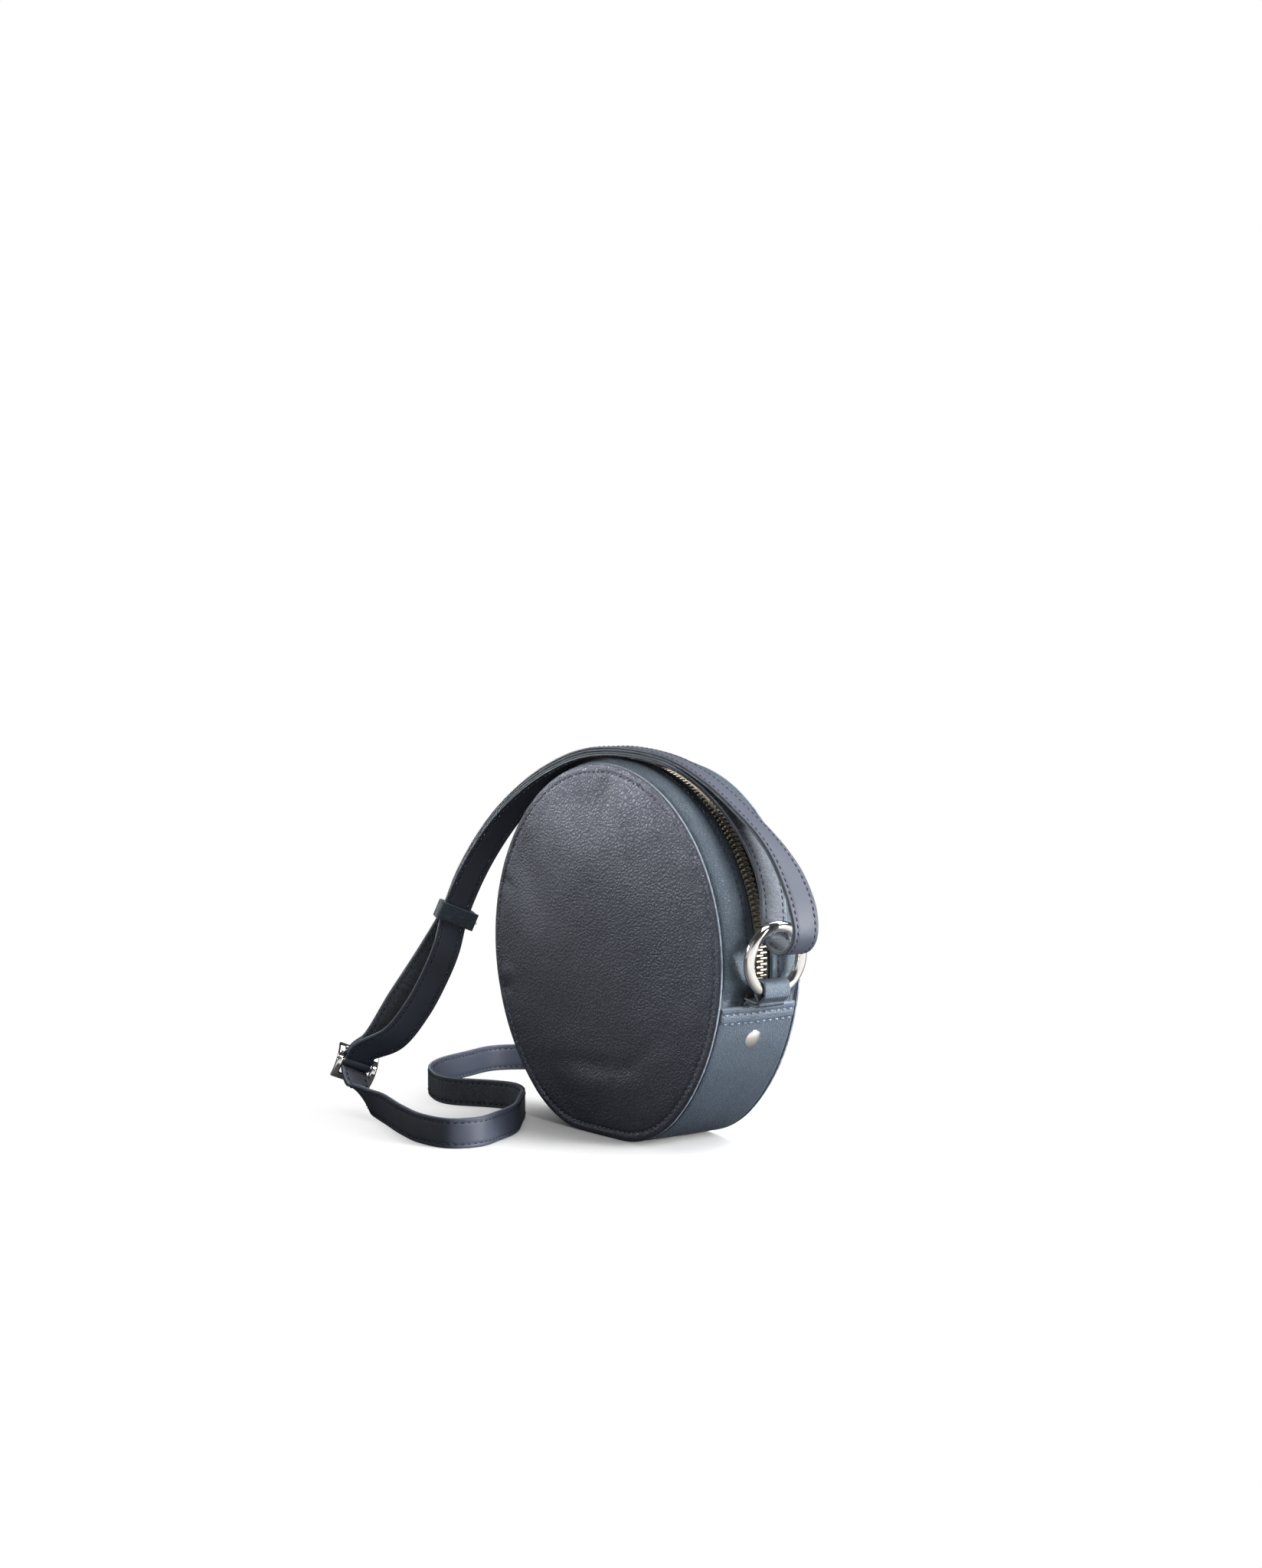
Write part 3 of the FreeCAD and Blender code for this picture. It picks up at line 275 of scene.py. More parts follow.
def stitch_row(name, line, outward, pitch, thread, material):
    """One row of sewn stitches along a line that lies on the leather."""
    along = run_length(line)
    count = max(1, int(along[-1] / pitch))
    middles = (np.arange(count) + 0.5) * along[-1] / count
    way = unit(read_along(middles, along, np.gradient(line, axis=0)))
    up = square_to(way, read_along(middles, along, outward))
    side = np.cross(up, way)
    lean, straight = math.sin(STITCH_SLANT), math.cos(STITCH_SLANT)
    way, side = way * straight + side * lean, side * straight - way * lean
    turn = np.arange(STITCH_SIDES) * 2 * math.pi / STITCH_SIDES
    ahead = np.repeat(STITCH_RINGS * pitch * STITCH_REACH_SHARE / 2, STITCH_SIDES)
    across = (STITCH_GIRTH[:, None] * np.cos(turn) * thread / 2).ravel()
    rise = ((STITCH_GIRTH[:, None] * np.sin(turn) + STITCH_RISE[:, None]) * thread / 2).ravel()
    points = read_along(middles, along, line)[:, None] + (
        way[:, None] * ahead[:, None] + side[:, None] * across[:, None] + up[:, None] * rise[:, None])
    points = points.reshape(-1, 3)
    index = np.arange(len(STITCH_RINGS) * STITCH_SIDES).reshape(-1, STITCH_SIDES)
    near, far = index[:-1], index[1:]
    quads = np.stack([near, np.roll(near, -1, 1), np.roll(far, -1, 1), far], -1).reshape(-1, 4)
    faces = []
    for shift in range(0, len(points), index.size):
        faces += (quads + shift).tolist()
        faces += [(end + shift).tolist() for end in (index[0][::-1], index[-1])]
    lay = np.stack(np.broadcast_arrays(middles[:, None] + ahead, across), -1).reshape(-1, 2)
    return mesh_piece(name, points, faces, lay, np.zeros(len(points)), material)


# Materials


def link(tree, values, node):
    """Set or link a node's inputs by socket name or number."""
    for key, value in values.items():
        socket = node.inputs[key]
        if isinstance(value, bpy.types.NodeSocket):
            tree.links.new(value, socket)
        else:
            socket.default_value = value
    return node


def add(tree, kind, values=None, **settings):
    node = tree.nodes.new(kind)
    for key, value in settings.items():
        setattr(node, key, value)
    return link(tree, values or {}, node)


def math_node(tree, operation, *values, clamp=False):
    values = dict(enumerate(values))
    return add(tree, "ShaderNodeMath", values, operation=operation, use_clamp=clamp).outputs[0]


def weighted(tree, *parts):
    """The sum of values, each times its weight."""
    total = 0.0
    for value, weight in parts:
        total = math_node(tree, "MULTIPLY_ADD", value, weight, total)
    return total


def vector_node(tree, operation, values):
    return add(tree, "ShaderNodeVectorMath", values, operation=operation).outputs[0]


def noise_node(tree, place, scale, detail, **more):
    values = {"Vector": place, "Scale": scale, "Detail": detail, **more}
    return add(tree, "ShaderNodeTexNoise", values).outputs


def bump_node(tree, height, distance, strength=1.0):
    values = {"Height": height, "Distance": distance, "Strength": strength}
    return add(tree, "ShaderNodeBump", values).outputs[0]


def blend_colours(tree, share, first, second):
    values = {0: share, 6: first, 7: second}
    return add(tree, "ShaderNodeMix", values, data_type="RGBA").outputs[2]


def spread(tree, value, low, high, to_low=0.0, to_high=1.0):
    """A value read between two limits and given between two others."""
    values = {0: value, 1: low, 2: high, 3: to_low, 4: to_high}
    return add(tree, "ShaderNodeMapRange", values).outputs[0]


def lay_place(tree):
    return add(tree, "ShaderNodeUVMap", uv_map="lay").outputs[0]


def effect(name, inputs, outputs, build):
    """A shader node group made once: inputs and outputs are rows of name, socket type and default."""
    group = bpy.data.node_groups.get(name)
    if group:
        return group
    group = bpy.data.node_groups.new(name, "ShaderNodeTree")
    for label, kind, default in inputs:
        socket = group.interface.new_socket(name=label, in_out="INPUT", socket_type=kind)
        if default is not None:
            socket.default_value = default
    for label, kind in outputs:
        group.interface.new_socket(name=label, in_out="OUTPUT", socket_type=kind)
    entry = group.nodes.new("NodeGroupInput")
    result = group.nodes.new("NodeGroupOutput")
    build(group, entry.outputs, result)
    return group


FLOAT, VECTOR = "NodeSocketFloat", "NodeSocketVector"
PLACE = ("Place", VECTOR, None)


def pebble_grain():
    """Leather grain: pebbles parted by fine creases, with a finer grain over them."""
    def build(tree, given, result):
        drift = noise_node(tree, given["Place"], scale=260.0, detail=2.0)["Color"]
        drift = vector_node(tree, "SUBTRACT", {0: drift, 1: (0.5, 0.5, 0.5)})
        drift = vector_node(tree, "SCALE", {0: drift, "Scale": 1.1 * MM})
        place = vector_node(tree, "ADD", {0: given["Place"], 1: drift})

        def from_crease(scale):
            values = {"Vector": place, "Scale": scale}
            cells = add(tree, "ShaderNodeTexVoronoi", values, feature="DISTANCE_TO_EDGE")
            return cells.outputs["Distance"]

        large = spread(tree, from_crease(given["Pebbles"]), 0.0, 0.28)
        fine_scale = math_node(tree, "MULTIPLY", given["Pebbles"], 2.3)
        small = spread(tree, from_crease(fine_scale), 0.0, 0.30)
        dust = noise_node(tree, place, scale=2600.0, detail=3.0)["Fac"]
        height = weighted(tree, (large, 0.62), (small, 0.26), (dust, 0.22))
        link(tree, {"Height": height, "Crease": math_node(tree, "SUBTRACT", 1.0, large)}, result)

    return effect("pebble_grain", [PLACE, ("Pebbles", FLOAT, 900.0)],
                  [("Height", FLOAT), ("Crease", FLOAT)], build)


def soft_mottle():
    """Slow changes of tone over a surface, as a mask about one half."""
    def build(tree, given, result):
        slow = noise_node(tree, given["Place"], given["Scale"], detail=4.0, Roughness=0.6)["Fac"]
        link(tree, {"Mask": spread(tree, slow, 0.3, 0.7)}, result)

    return effect("soft_mottle", [PLACE, ("Scale", FLOAT, 30.0)], [("Mask", FLOAT)], build)


def edge_wear():
    """Where the cut edge shows and rubs, broken up a little."""
    def build(tree, given, result):
        rub = noise_node(tree, given["Place"], scale=420.0, detail=3.0)["Fac"]
        broken = spread(tree, rub, 0.25, 0.65, 0.45, 1.0)
        link(tree, {"Mask": math_node(tree, "MULTIPLY", given["Edge"], broken, clamp=True)}, result)

    return effect("edge_wear", [PLACE, ("Edge", FLOAT, 0.0)], [("Mask", FLOAT)], build)


def cloth_weave():
    """Plain weave: threads over and under along both directions of the lay."""
    def build(tree, given, result):
        parts = add(tree, "ShaderNodeSeparateXYZ", {0: given["Place"]}).outputs
        turn = math_node(tree, "MULTIPLY", given["Threads"], math.pi)
        turns = [math_node(tree, "MULTIPLY", parts[axis], turn) for axis in (0, 1)]
        warp, weft = (math_node(tree, "SINE", angle) for angle in turns)
        over = spread(tree, math_node(tree, "MULTIPLY", warp, weft), -1.0, 1.0)
        slub = noise_node(tree, given["Place"], scale=1500.0, detail=2.0)["Fac"]
        link(tree, {"Height": math_node(tree, "MULTIPLY_ADD", slub, 0.4, over), "Mask": over}, result)

    return effect("cloth_weave", [PLACE, ("Threads", FLOAT, 2000.0)],
                  [("Height", FLOAT), ("Mask", FLOAT)], build)


def handled_metal():
    """Polished metal that has been handled: faint smears and hair scratches."""
    def build(tree, given, result):
        smear = noise_node(tree, given["Place"], scale=150.0, detail=4.0)["Fac"]
        hair = noise_node(tree, given["Place"], scale=2400.0, detail=2.0, Distortion=1.5)["Fac"]
        rough = math_node(tree, "ADD", spread(tree, smear, 0.3, 0.7, 0.0, 0.07), given["Polish"])
        mask = spread(tree, smear, 0.35, 0.7)
        link(tree, {"Roughness": rough, "Height": hair, "Mask": mask}, result)

    return effect("handled_metal", [PLACE, ("Polish", FLOAT, 0.08)],
                  [("Roughness", FLOAT), ("Height", FLOAT), ("Mask", FLOAT)], build)


def grouped(tree, group, values):
    node = tree.nodes.new("ShaderNodeGroup")
    node.node_tree = group
    return link(tree, values, node).outputs


def new_finish(name):
    """A new material with its tree and its shader."""
    material = bpy.data.materials.new(name)
    material.use_nodes = True
    tree = material.node_tree
    return material, tree, tree.nodes["Principled BSDF"]


def made_once(build):
    """A kind of finish whose material is built when its name is first asked for."""
    def give(name, *values, **named):
        material = bpy.data.materials.get(name)
        if material is None:
            material, tree, shader = new_finish(name)
            build(tree, shader, *values, **named)
        return material

    return give


def dimmed(rgba, share):
    return (rgba[0] * share, rgba[1] * share, rgba[2] * share, 1.0)


SHELL_GLEAM = (0.72, 0.87, 0.98, 1.0)
PANEL_GLEAM = (0.76, 0.80, 1.0, 1.0)
WRINKLE_SCALE = (900.0, 130.0, 1.0)
DARK_SHARE, LIGHT_SHARE = 0.84, 1.14
# The first two are the weight and the darkness of painted shade in the grain's creases; the last is the
# creases' added roughness.
CREASE_SHADE_SHARE, CREASE_SHADE_TONE, CREASE_ROUGHNESS = 0.7, 0.25, 0.28
GLOSS_SWING = 0.05


@made_once
def leather_finish(tree, shader, base, roughness, pebbles, depth, wrinkles=0.0, gleam=SHELL_GLEAM):
    lay = lay_place(tree)
    grain = grouped(tree, pebble_grain(), {"Place": lay, "Pebbles": pebbles})
    mottle = grouped(tree, soft_mottle(), {"Place": lay, "Scale": 34.0})["Mask"]
    edge = add(tree, "ShaderNodeAttribute", attribute_name="cut_edge").outputs["Fac"]
    worn = grouped(tree, edge_wear(), {"Place": lay, "Edge": edge})["Mask"]
    tone = blend_colours(tree, mottle, dimmed(base, DARK_SHARE), dimmed(base, LIGHT_SHARE))
    # Painted shade: the grain's creases are darkened towards a dim copy of the base colour.
    crease_shade = math_node(tree, "MULTIPLY", grain["Crease"], CREASE_SHADE_SHARE)
    tone = blend_colours(tree, crease_shade, tone, dimmed(base, CREASE_SHADE_TONE))
    tone = blend_colours(tree, worn, tone, tuple(finish().cut_edge))
    height = grain["Height"]
    if wrinkles:
        stretch = add(tree, "ShaderNodeMapping", {"Vector": lay, "Scale": WRINKLE_SCALE}).outputs[0]
        fold = noise_node(tree, stretch, scale=1.0, detail=3.0, Distortion=0.6)["Fac"]
        height = math_node(tree, "MULTIPLY_ADD", fold, wrinkles, height)
    gloss = spread(tree, mottle, 0.0, 1.0, roughness + GLOSS_SWING, roughness - GLOSS_SWING)
    gloss = math_node(tree, "MULTIPLY_ADD", grain["Crease"], CREASE_ROUGHNESS, gloss)
    link(tree, {"Base Color": tone, "Roughness": gloss, "Normal": bump_node(tree, height, depth, 0.9),
                "Specular IOR Level": 0.85, "Specular Tint": gleam}, shader)


def shell_leather():
    return leather_finish("shell_leather", tuple(finish().leather), roughness=finish().leather_gloss - 0.06,
                          pebbles=900.0, depth=0.16 * MM)


def panel_leather():
    return leather_finish("panel_leather", tuple(finish().panel), roughness=finish().leather_gloss - 0.02,
                          pebbles=560.0, depth=0.20 * MM, gleam=PANEL_GLEAM)


def strap_leather():
    return leather_finish("strap_leather", tuple(finish().strap), roughness=0.42,
                          pebbles=1000.0, depth=0.14 * MM)


def strap_back_leather():
    return leather_finish("strap_back_leather", tuple(finish().strap_lining), roughness=0.50, pebbles=1200.0,
                          depth=0.13 * MM, wrinkles=3.4)


@made_once
def thread_finish(tree, shader, base):
    values = {"Vector": lay_place(tree), "Scale": 620.0, "Distortion": 0.6}
    ply = add(tree, "ShaderNodeTexWave", values, bands_direction="DIAGONAL").outputs["Fac"]
    tone = blend_colours(tree, ply, dimmed(base, 0.65), dimmed(base, 1.25))
    link(tree, {"Base Color": tone, "Roughness": spread(tree, ply, 0.0, 1.0, 0.62, 0.46),
                "Normal": bump_node(tree, ply, 0.06 * MM)}, shader)


def sewing_thread():
    return thread_finish("sewing_thread", tuple(finish().thread))


def hem_thread():
    return thread_finish("hem_thread", tuple(finish().hem_thread))


@made_once
def cloth_finish(tree, shader, base, threads):
    lay = lay_place(tree)
    weave = grouped(tree, cloth_weave(), {"Place": lay, "Threads": threads})
    mottle = grouped(tree, soft_mottle(), {"Place": lay, "Scale": 60.0})["Mask"]
    tone = blend_colours(tree, weave["Mask"], dimmed(base, 0.7), dimmed(base, 1.2))
    tone = blend_colours(tree, math_node(tree, "MULTIPLY", mottle, 0.35), tone, dimmed(base, 0.75))
    link(tree, {"Base Color": tone, "Roughness": spread(tree, weave["Mask"], 0.0, 1.0, 0.85, 0.70),
                "Normal": bump_node(tree, weave["Height"], 0.08 * MM), "Sheen Weight": 0.2}, shader)


@made_once
def metal_finish(tree, shader, base, polish, rim=1.0):
    place = add(tree, "ShaderNodeTexCoord").outputs["Object"]
    metal = grouped(tree, handled_metal(), {"Place": place, "Polish": polish})
    tone = blend_colours(tree, metal["Mask"], dimmed(base, 0.93), dimmed(base, 1.04))
    link(tree, {"Base Color": tone, "Roughness": metal["Roughness"], "Metallic": 1.0,
                "Normal": bump_node(tree, metal["Height"], 0.004 * MM, 0.5),
                "Specular Tint": (rim, rim, rim, 1.0)}, shader)


def wear_finish(node_name, material):
    """Give a solid of the frame its finish."""
    for place in NODES[node_name].material_slots:
        place.material = material


def soften(node_name, width):
    """Break the sharp edges of a solid of the frame."""
    bevel = NODES[node_name].modifiers.new("soft_edges", "BEVEL")
    bevel.width = width
    bevel.segments = 2
    bevel.limit_method = "ANGLE"
    bevel.harden_normals = True


# Outline of the bag

CENTRE_HEIGHT = 89 * MM
BAG_MIDDLE = np.array([0.0, CENTRE_HEIGHT])
HEM_ANGLE = 11.0
SWELL_ANGLE = 48.0
SIDE_SWELL = 11 * MM


def heading(degrees):
    angle = np.radians(degrees)
    return np.stack([np.cos(angle), np.sin(angle)], -1)


def outline_arcs():
    """The outline's arcs in X and Z, from the right hem over the top and round.

    Each is a centre, a radius and two angles.
    """
    radius = shell().panel_radius
    side = BAG_MIDDLE - heading(-HEM_ANGLE) * SIDE_SWELL
    side_radius = radius + SIDE_SWELL
    fall = math.sin(math.radians(-SWELL_ANGLE))
    corner_radius = (side[1] + side_radius * fall) / (1 + fall)
    corner = side + heading(-SWELL_ANGLE) * (side_radius - corner_radius)
    mirror = np.array([-1.0, 1.0])
    return [
        (BAG_MIDDLE, radius, -HEM_ANGLE, 180 + HEM_ANGLE),
        (side * mirror, side_radius, 180 + HEM_ANGLE, 180 + SWELL_ANGLE),
        (corner * mirror, corner_radius, 180 + SWELL_ANGLE, 270),
        (corner, corner_radius, 270, 360 - SWELL_ANGLE),
        (side, side_radius, 360 - SWELL_ANGLE, 360 - HEM_ANGLE),
    ]


def outline_run(arcs, spacing):
    """Points along arcs that follow each other, and the outward way at each."""
    points, ways = [], []
    for centre, radius, first, last in arcs:
        entry = centre + heading(first) * radius
        if points and np.linalg.norm(entry - points[-1][-1]) > 2 * spacing:
            start = points[-1][-1]
            steps = int(np.linalg.norm(entry - start) / spacing)
            share = np.linspace(0, 1, steps, endpoint=False)[1:, None]
            points.append(start + (entry - start) * share)
            ways.append(np.broadcast_to(heading(first), points[-1].shape))
        steps = max(2, int(math.radians(last - first) * radius / spacing))
        way = heading(np.linspace(first, last, steps, endpoint=False))
        points.append(centre + way * radius)
        ways.append(way)
    return np.concatenate(points), np.concatenate(ways)


def upright(flat, y):
    """Points of X and Z set at a depth Y."""
    return np.stack([flat[..., 0], np.broadcast_to(y, flat.shape[:-1]), flat[..., 1]], -1)


# Round panels

# Section of a panel's edge, from the face round to the back: inset and sink, in millimetres
EDGE_SECTION = [
    (6.0, 0.0), (5.2, 0.0), (4.7, 0.0), (4.3, 0.0), (4.0, 0.0), (3.7, 0.0), (3.3, 0.0), (2.8, 0.0),
    (2.0, 0.0), (1.2, 0.0), (0.7, 0.03), (0.35, 0.12), (0.1, 0.32), (0.0, 0.6), (0.0, 0.85), (0.1, 1.12),
    (0.35, 1.32), (0.8, 1.4), (3.0, 1.4), (6.0, 1.4),
]
CUT_SINKS, CUT_SHARES = np.array([0.1, 0.32, 1.1, 1.35]) * MM, [0, 1, 1, 0]
PANEL_RINGS = np.linspace(0.02, 1.0, 44)
PANEL_SPACING = 0.9 * MM
SLOW_WAVE, QUICK_WAVE, QUICK_WAVE_SHARE = 38 * MM, 13 * MM, 0.3
RIM_FADE = 12 * MM
PUCKER, PUCKER_INSET, PUCKER_REACH, PUCKER_WAVE = 0.28 * MM, 9 * MM, 5 * MM, 8 * MM
SEAM_SINK, SEAM_REACH = 0.34 * MM, 0.75 * MM
RIM_SWELL, RIM_SWELL_INSET, RIM_SWELL_REACH = 0.12 * MM, 2 * MM, 1.2 * MM

# Soft dents of the front panel in millimetres: middle x and z, way x and z, half length, half width, depth
FRONT_DENTS = [
    (0.0, 138.0, 1.0, 0.0, 62.0, 34.0, -2.60),
    (-8.0, 52.0, 1.0, 0.0, 60.0, 26.0, 0.90),
    (7.0, 166.0, 0.2, -1.0, 10.0, 4.0, 0.75),
    (-7.0, 169.0, 1.0, 0.1, 9.0, 8.0, -0.55),
    (20.0, 163.0, 0.6, -0.8, 14.0, 6.0, -0.40),
    (-80.0, 117.0, 1.0, -0.3, 8.0, 3.5, 0.80),
    (-83.0, 62.5, 1.0, 0.2, 8.0, 3.5, 0.80),
    (-78.0, 71.0, 1.0, 0.1, 9.0, 4.0, -0.45),
    (-61.0, 124.0, 0.55, -0.83, 30.0, 12.0, 1.20),
    (-4.0, 34.0, 1.0, 0.05, 30.0, 4.5, 0.55),
    (-6.0, 25.0, 1.0, 0.1, 26.0, 5.0, -0.35),
    (-35.0, 20.0, 0.7, -0.6, 20.0, 12.0, 1.00),
    (30.0, 40.0, 0.8, 0.5, 18.0, 4.0, 0.35),
]


def panel_height(flat, inset, seed, dents):
    """How far the leather stands out from a panel's edge plane at points of X and Z."""
    sizes = shell()
    dome = (sizes.panel_radius ** 2 + sizes.panel_dome ** 2) / (2 * sizes.panel_dome)
    height = sizes.panel_dome - dome + np.sqrt(dome ** 2 - np.sum((flat - BAG_MIDDLE) ** 2, -1))
    places = upright(flat, 0.0)
    soft = sizes.dent * np.clip((inset - sizes.stitch_inset) / RIM_FADE, 0, 1)
    height += soft * ripple(places, SLOW_WAVE, seed)
    height += QUICK_WAVE_SHARE * soft * ripple(places, QUICK_WAVE, seed + 1)
    height += PUCKER * hump(inset - PUCKER_INSET, PUCKER_REACH) * ripple(places, PUCKER_WAVE, seed + 2)
    height -= SEAM_SINK * hump(inset - sizes.stitch_inset, SEAM_REACH)
    height += RIM_SWELL * hump(inset - RIM_SWELL_INSET, RIM_SWELL_REACH)
    held = np.clip(inset / sizes.stitch_inset, 0, 1)
    for x, z, way_x, way_z, half_length, half_width, depth in dents:
        way = np.array([way_x, way_z]) / math.hypot(way_x, way_z)
        across = np.array([-way[1], way[0]])
        offset = flat - np.array([x, z]) * MM
        reach = hump(offset @ way, half_length * MM) * hump(offset @ across, half_width * MM)
        height -= depth * MM * reach * held
    return height


def round_panel(name, side, seed, dents):
    sizes = shell()
    flat, ways = outline_run(outline_arcs(), PANEL_SPACING)
    section = np.array(EDGE_SECTION) * MM
    deep = section[0, 0]
    columns, insets, sinks = [], [], []

    def lay_rings(rings, sink):
        for ring in rings:
            columns.append(BAG_MIDDLE + (flat - ways * deep - BAG_MIDDLE) * ring)
            insets.append(deep + (1 - ring) * sizes.panel_radius)
            sinks.append(sink)

    lay_rings(PANEL_RINGS[:-1], 0.0)
    rim = slice(len(columns), len(columns) + len(section))
    for inset, sink in section:
        columns.append(flat - ways * inset)
        insets.append(inset)
        sinks.append(sink)
    lay_rings(PANEL_RINGS[-2::-3], sizes.leather)
    grid = np.stack(columns, 1)
    rows, count = grid.shape[:2]
    height = panel_height(grid.reshape(-1, 2), np.tile(insets, rows), seed, dents).reshape(rows, count)
    points = upright(grid, side * (sizes.half_depth + height - np.array(sinks))).reshape(-1, 3)
    here = np.arange(rows * count).reshape(rows, count)
    there = np.roll(here, -1, 0)
    quads = np.stack([here[:, :-1], here[:, 1:], there[:, 1:], there[:, :-1]], -1)
    faces = quads.reshape(-1, 4).tolist()
    poles = []
    for column in (0, count - 1):
        pole = np.full(rows, len(points) + len(poles))
        fan = np.stack([here[:, column], there[:, column], pole], -1)
        faces += (fan if column == 0 else fan[:, ::-1]).tolist()
        poles.append(points[here[:, column]].mean(0))
    points = np.concatenate([points, poles])
    if side > 0:
        faces = [face[::-1] for face in faces]
    edge = np.zeros((rows, count))
    edge[:, rim] = np.interp(section[:, 1], CUT_SINKS, CUT_SHARES)
    edge = np.concatenate([edge.reshape(-1), np.zeros(len(poles))])
    panel = mesh_piece(name + "_leather", points, faces, points[:, [0, 2]], edge, panel_leather())
    sew_to_bag(panel, name)
    seam = np.concatenate([flat, flat[:1]]) - np.concatenate([ways, ways[:1]]) * sizes.stitch_inset
    rise = panel_height(seam, np.full(len(seam), sizes.stitch_inset), seed, dents)
    line = upright(seam, side * (sizes.half_depth + rise))
    outward = np.broadcast_to([0.0, side, 0.0], line.shape)
    stitches = stitch_row(name + "_stitches", line, outward, sizes.stitch_pitch, SHELL_THREAD, hem_thread())
    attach(stitches, "bag")


class BAG_OT_panels(bpy.types.Operator):
    """Round leather panels with their stitches"""

    bl_idname = "bag.panels"
    bl_label = "Round Panels"

    def execute(self, context):
        round_panel("front_panel", -1, seed=3, dents=FRONT_DENTS)
        round_panel("back_panel", 1, seed=11, dents=[])
        return {"FINISHED"}


# Upper gusset and zip

TAB_LEATHER = 1.2 * MM
TAB_WIDTH = 15 * MM
SEAM_GAP = 0.25 * MM
TAPE_TOP = 89.35 * MM
TAPE_SPACING = 1.2 * MM
SLIDER_SOFT, STOP_SOFT, STAPLE_SOFT = 0.18 * MM, 0.25 * MM, 0.25 * MM

# Section of a strip: radius and depth, in millimetres, over its outer face and then along its back
STRIP_FACE = [
    (88.3, -22.3), (89.3, -22.3), (90.2, -21.9), (91.1, -20.4), (91.9, -18.3), (92.4, -16.2), (92.5, -14.2),
    (92.3, -12.4), (91.85, -10.8), (91.5, -9.7), (91.2, -9.2), (91.2, -8.8), (91.45, -8.2), (91.6, -7.3),
    (91.5, -6.1), (91.15, -5.3), (90.6, -5.0), (90.0, -5.1), (89.65, -5.6), (89.6, -7.0), (89.6, -9.0),
]
STRIP_BACK = [
    (90.1, -9.6), (90.6, -11.0), (91.0, -14.0), (90.7, -16.8), (90.0, -19.4), (89.0, -20.9), (88.3, -20.9),
]
STRIP_STITCH_RADIUS, STRIP_STITCH_DEPTH = 91.15 * MM, -9.0 * MM
STRIP_SPACING, STRIP_STEPS = 1.0 * MM, 4
STRIP_PAST_HEM = 3.0
PUFF, PUFF_DEPTH, PUFF_REACH, PUFF_WAVE = 0.32 * MM, -15 * MM, 6 * MM, 26 * MM
TOP_SWELL, TOP_SWELL_DEGREES = 0.65 * MM, 16.0
SEAM_PUCKER, SEAM_PUCKER_DEPTH, SEAM_PUCKER_REACH, SEAM_PUCKER_WAVE = 0.22 * MM, -20 * MM, 2.5 * MM, 6 * MM
TUCK_START, TUCK_DEGREES = 5.0, 6.0
TUCK_GAP, TUCK_LEVEL, TUCK_DEEPEST, TUCK_SHARE = 0.35 * MM, 90.2 * MM, 9 * MM, 0.3
TAB_ROOM, TAB_ROOM_FADE = 0.4 * MM, 1.5 * MM

# Section of a zip tape: rise over its top and depth, in millimetres
TAPE_SECTION = [
    (0.0, 2.9), (-0.1, 3.2), (0.0, 3.6), (0.0, 5.0), (0.0, 8.0), (0.0, 10.8), (-0.2, 11.0),
    (-0.6, 10.9), (-0.7, 8.0), (-0.7, 5.0), (-0.7, 3.2), (-0.5, 2.9),
]


def strip_end_angle():
    slot = 2 * TAB_LEATHER + 2 * SEAM_GAP
    return HEM_ANGLE - math.degrees(slot / (shell().panel_radius - shell().leather))


def over_top(spacing, beyond=0.0):
    """Angles over the top of the bag from one strip end to the other, or some way beyond."""
    end = strip_end_angle() + math.degrees(beyond / shell().panel_radius)
    return np.linspace(-end, 180 + end, int(math.radians(180 + 2 * end) * shell().panel_radius / spacing))


def turned(angles, radii, depths):
    """Points at radii from the bag's axis and depths along it, at each angle."""
    way = heading(angles)
    if way.ndim == 2:
        way = way[:, None, :]
    grid = way * radii[..., None]
    depths = np.broadcast_to(depths, grid.shape[:2])
    return np.stack([grid[..., 0], depths, grid[..., 1] + CENTRE_HEIGHT], -1)


def under_hem(angles, radii, depths):
    """Draw the strip's ends in under the hem, but not where the tab comes out."""
    end = strip_end_angle()
    past = np.maximum(-end - angles, angles - 180 - end)
    beside = np.clip((np.abs(depths) - TAB_WIDTH / 2 - TAB_ROOM) / TAB_ROOM_FADE, 0, 1)
    share = np.clip((past + TUCK_START) / TUCK_DEGREES, 0, 1)[:, None]
    share = share * share * (3 - 2 * share)
    low = shell().panel_radius - shell().leather - TUCK_GAP
    drawn = np.minimum(radii, low + np.clip(radii - TUCK_LEVEL, -TUCK_DEEPEST, 0) * TUCK_SHARE)
    radii = radii + (drawn - radii) * share
    stop = np.where(beside > 0, past[:, None], np.minimum(past[:, None], 0.0))
    return radii, np.where(angles[:, None] < 90, -end - stop, 180 + end + stop)


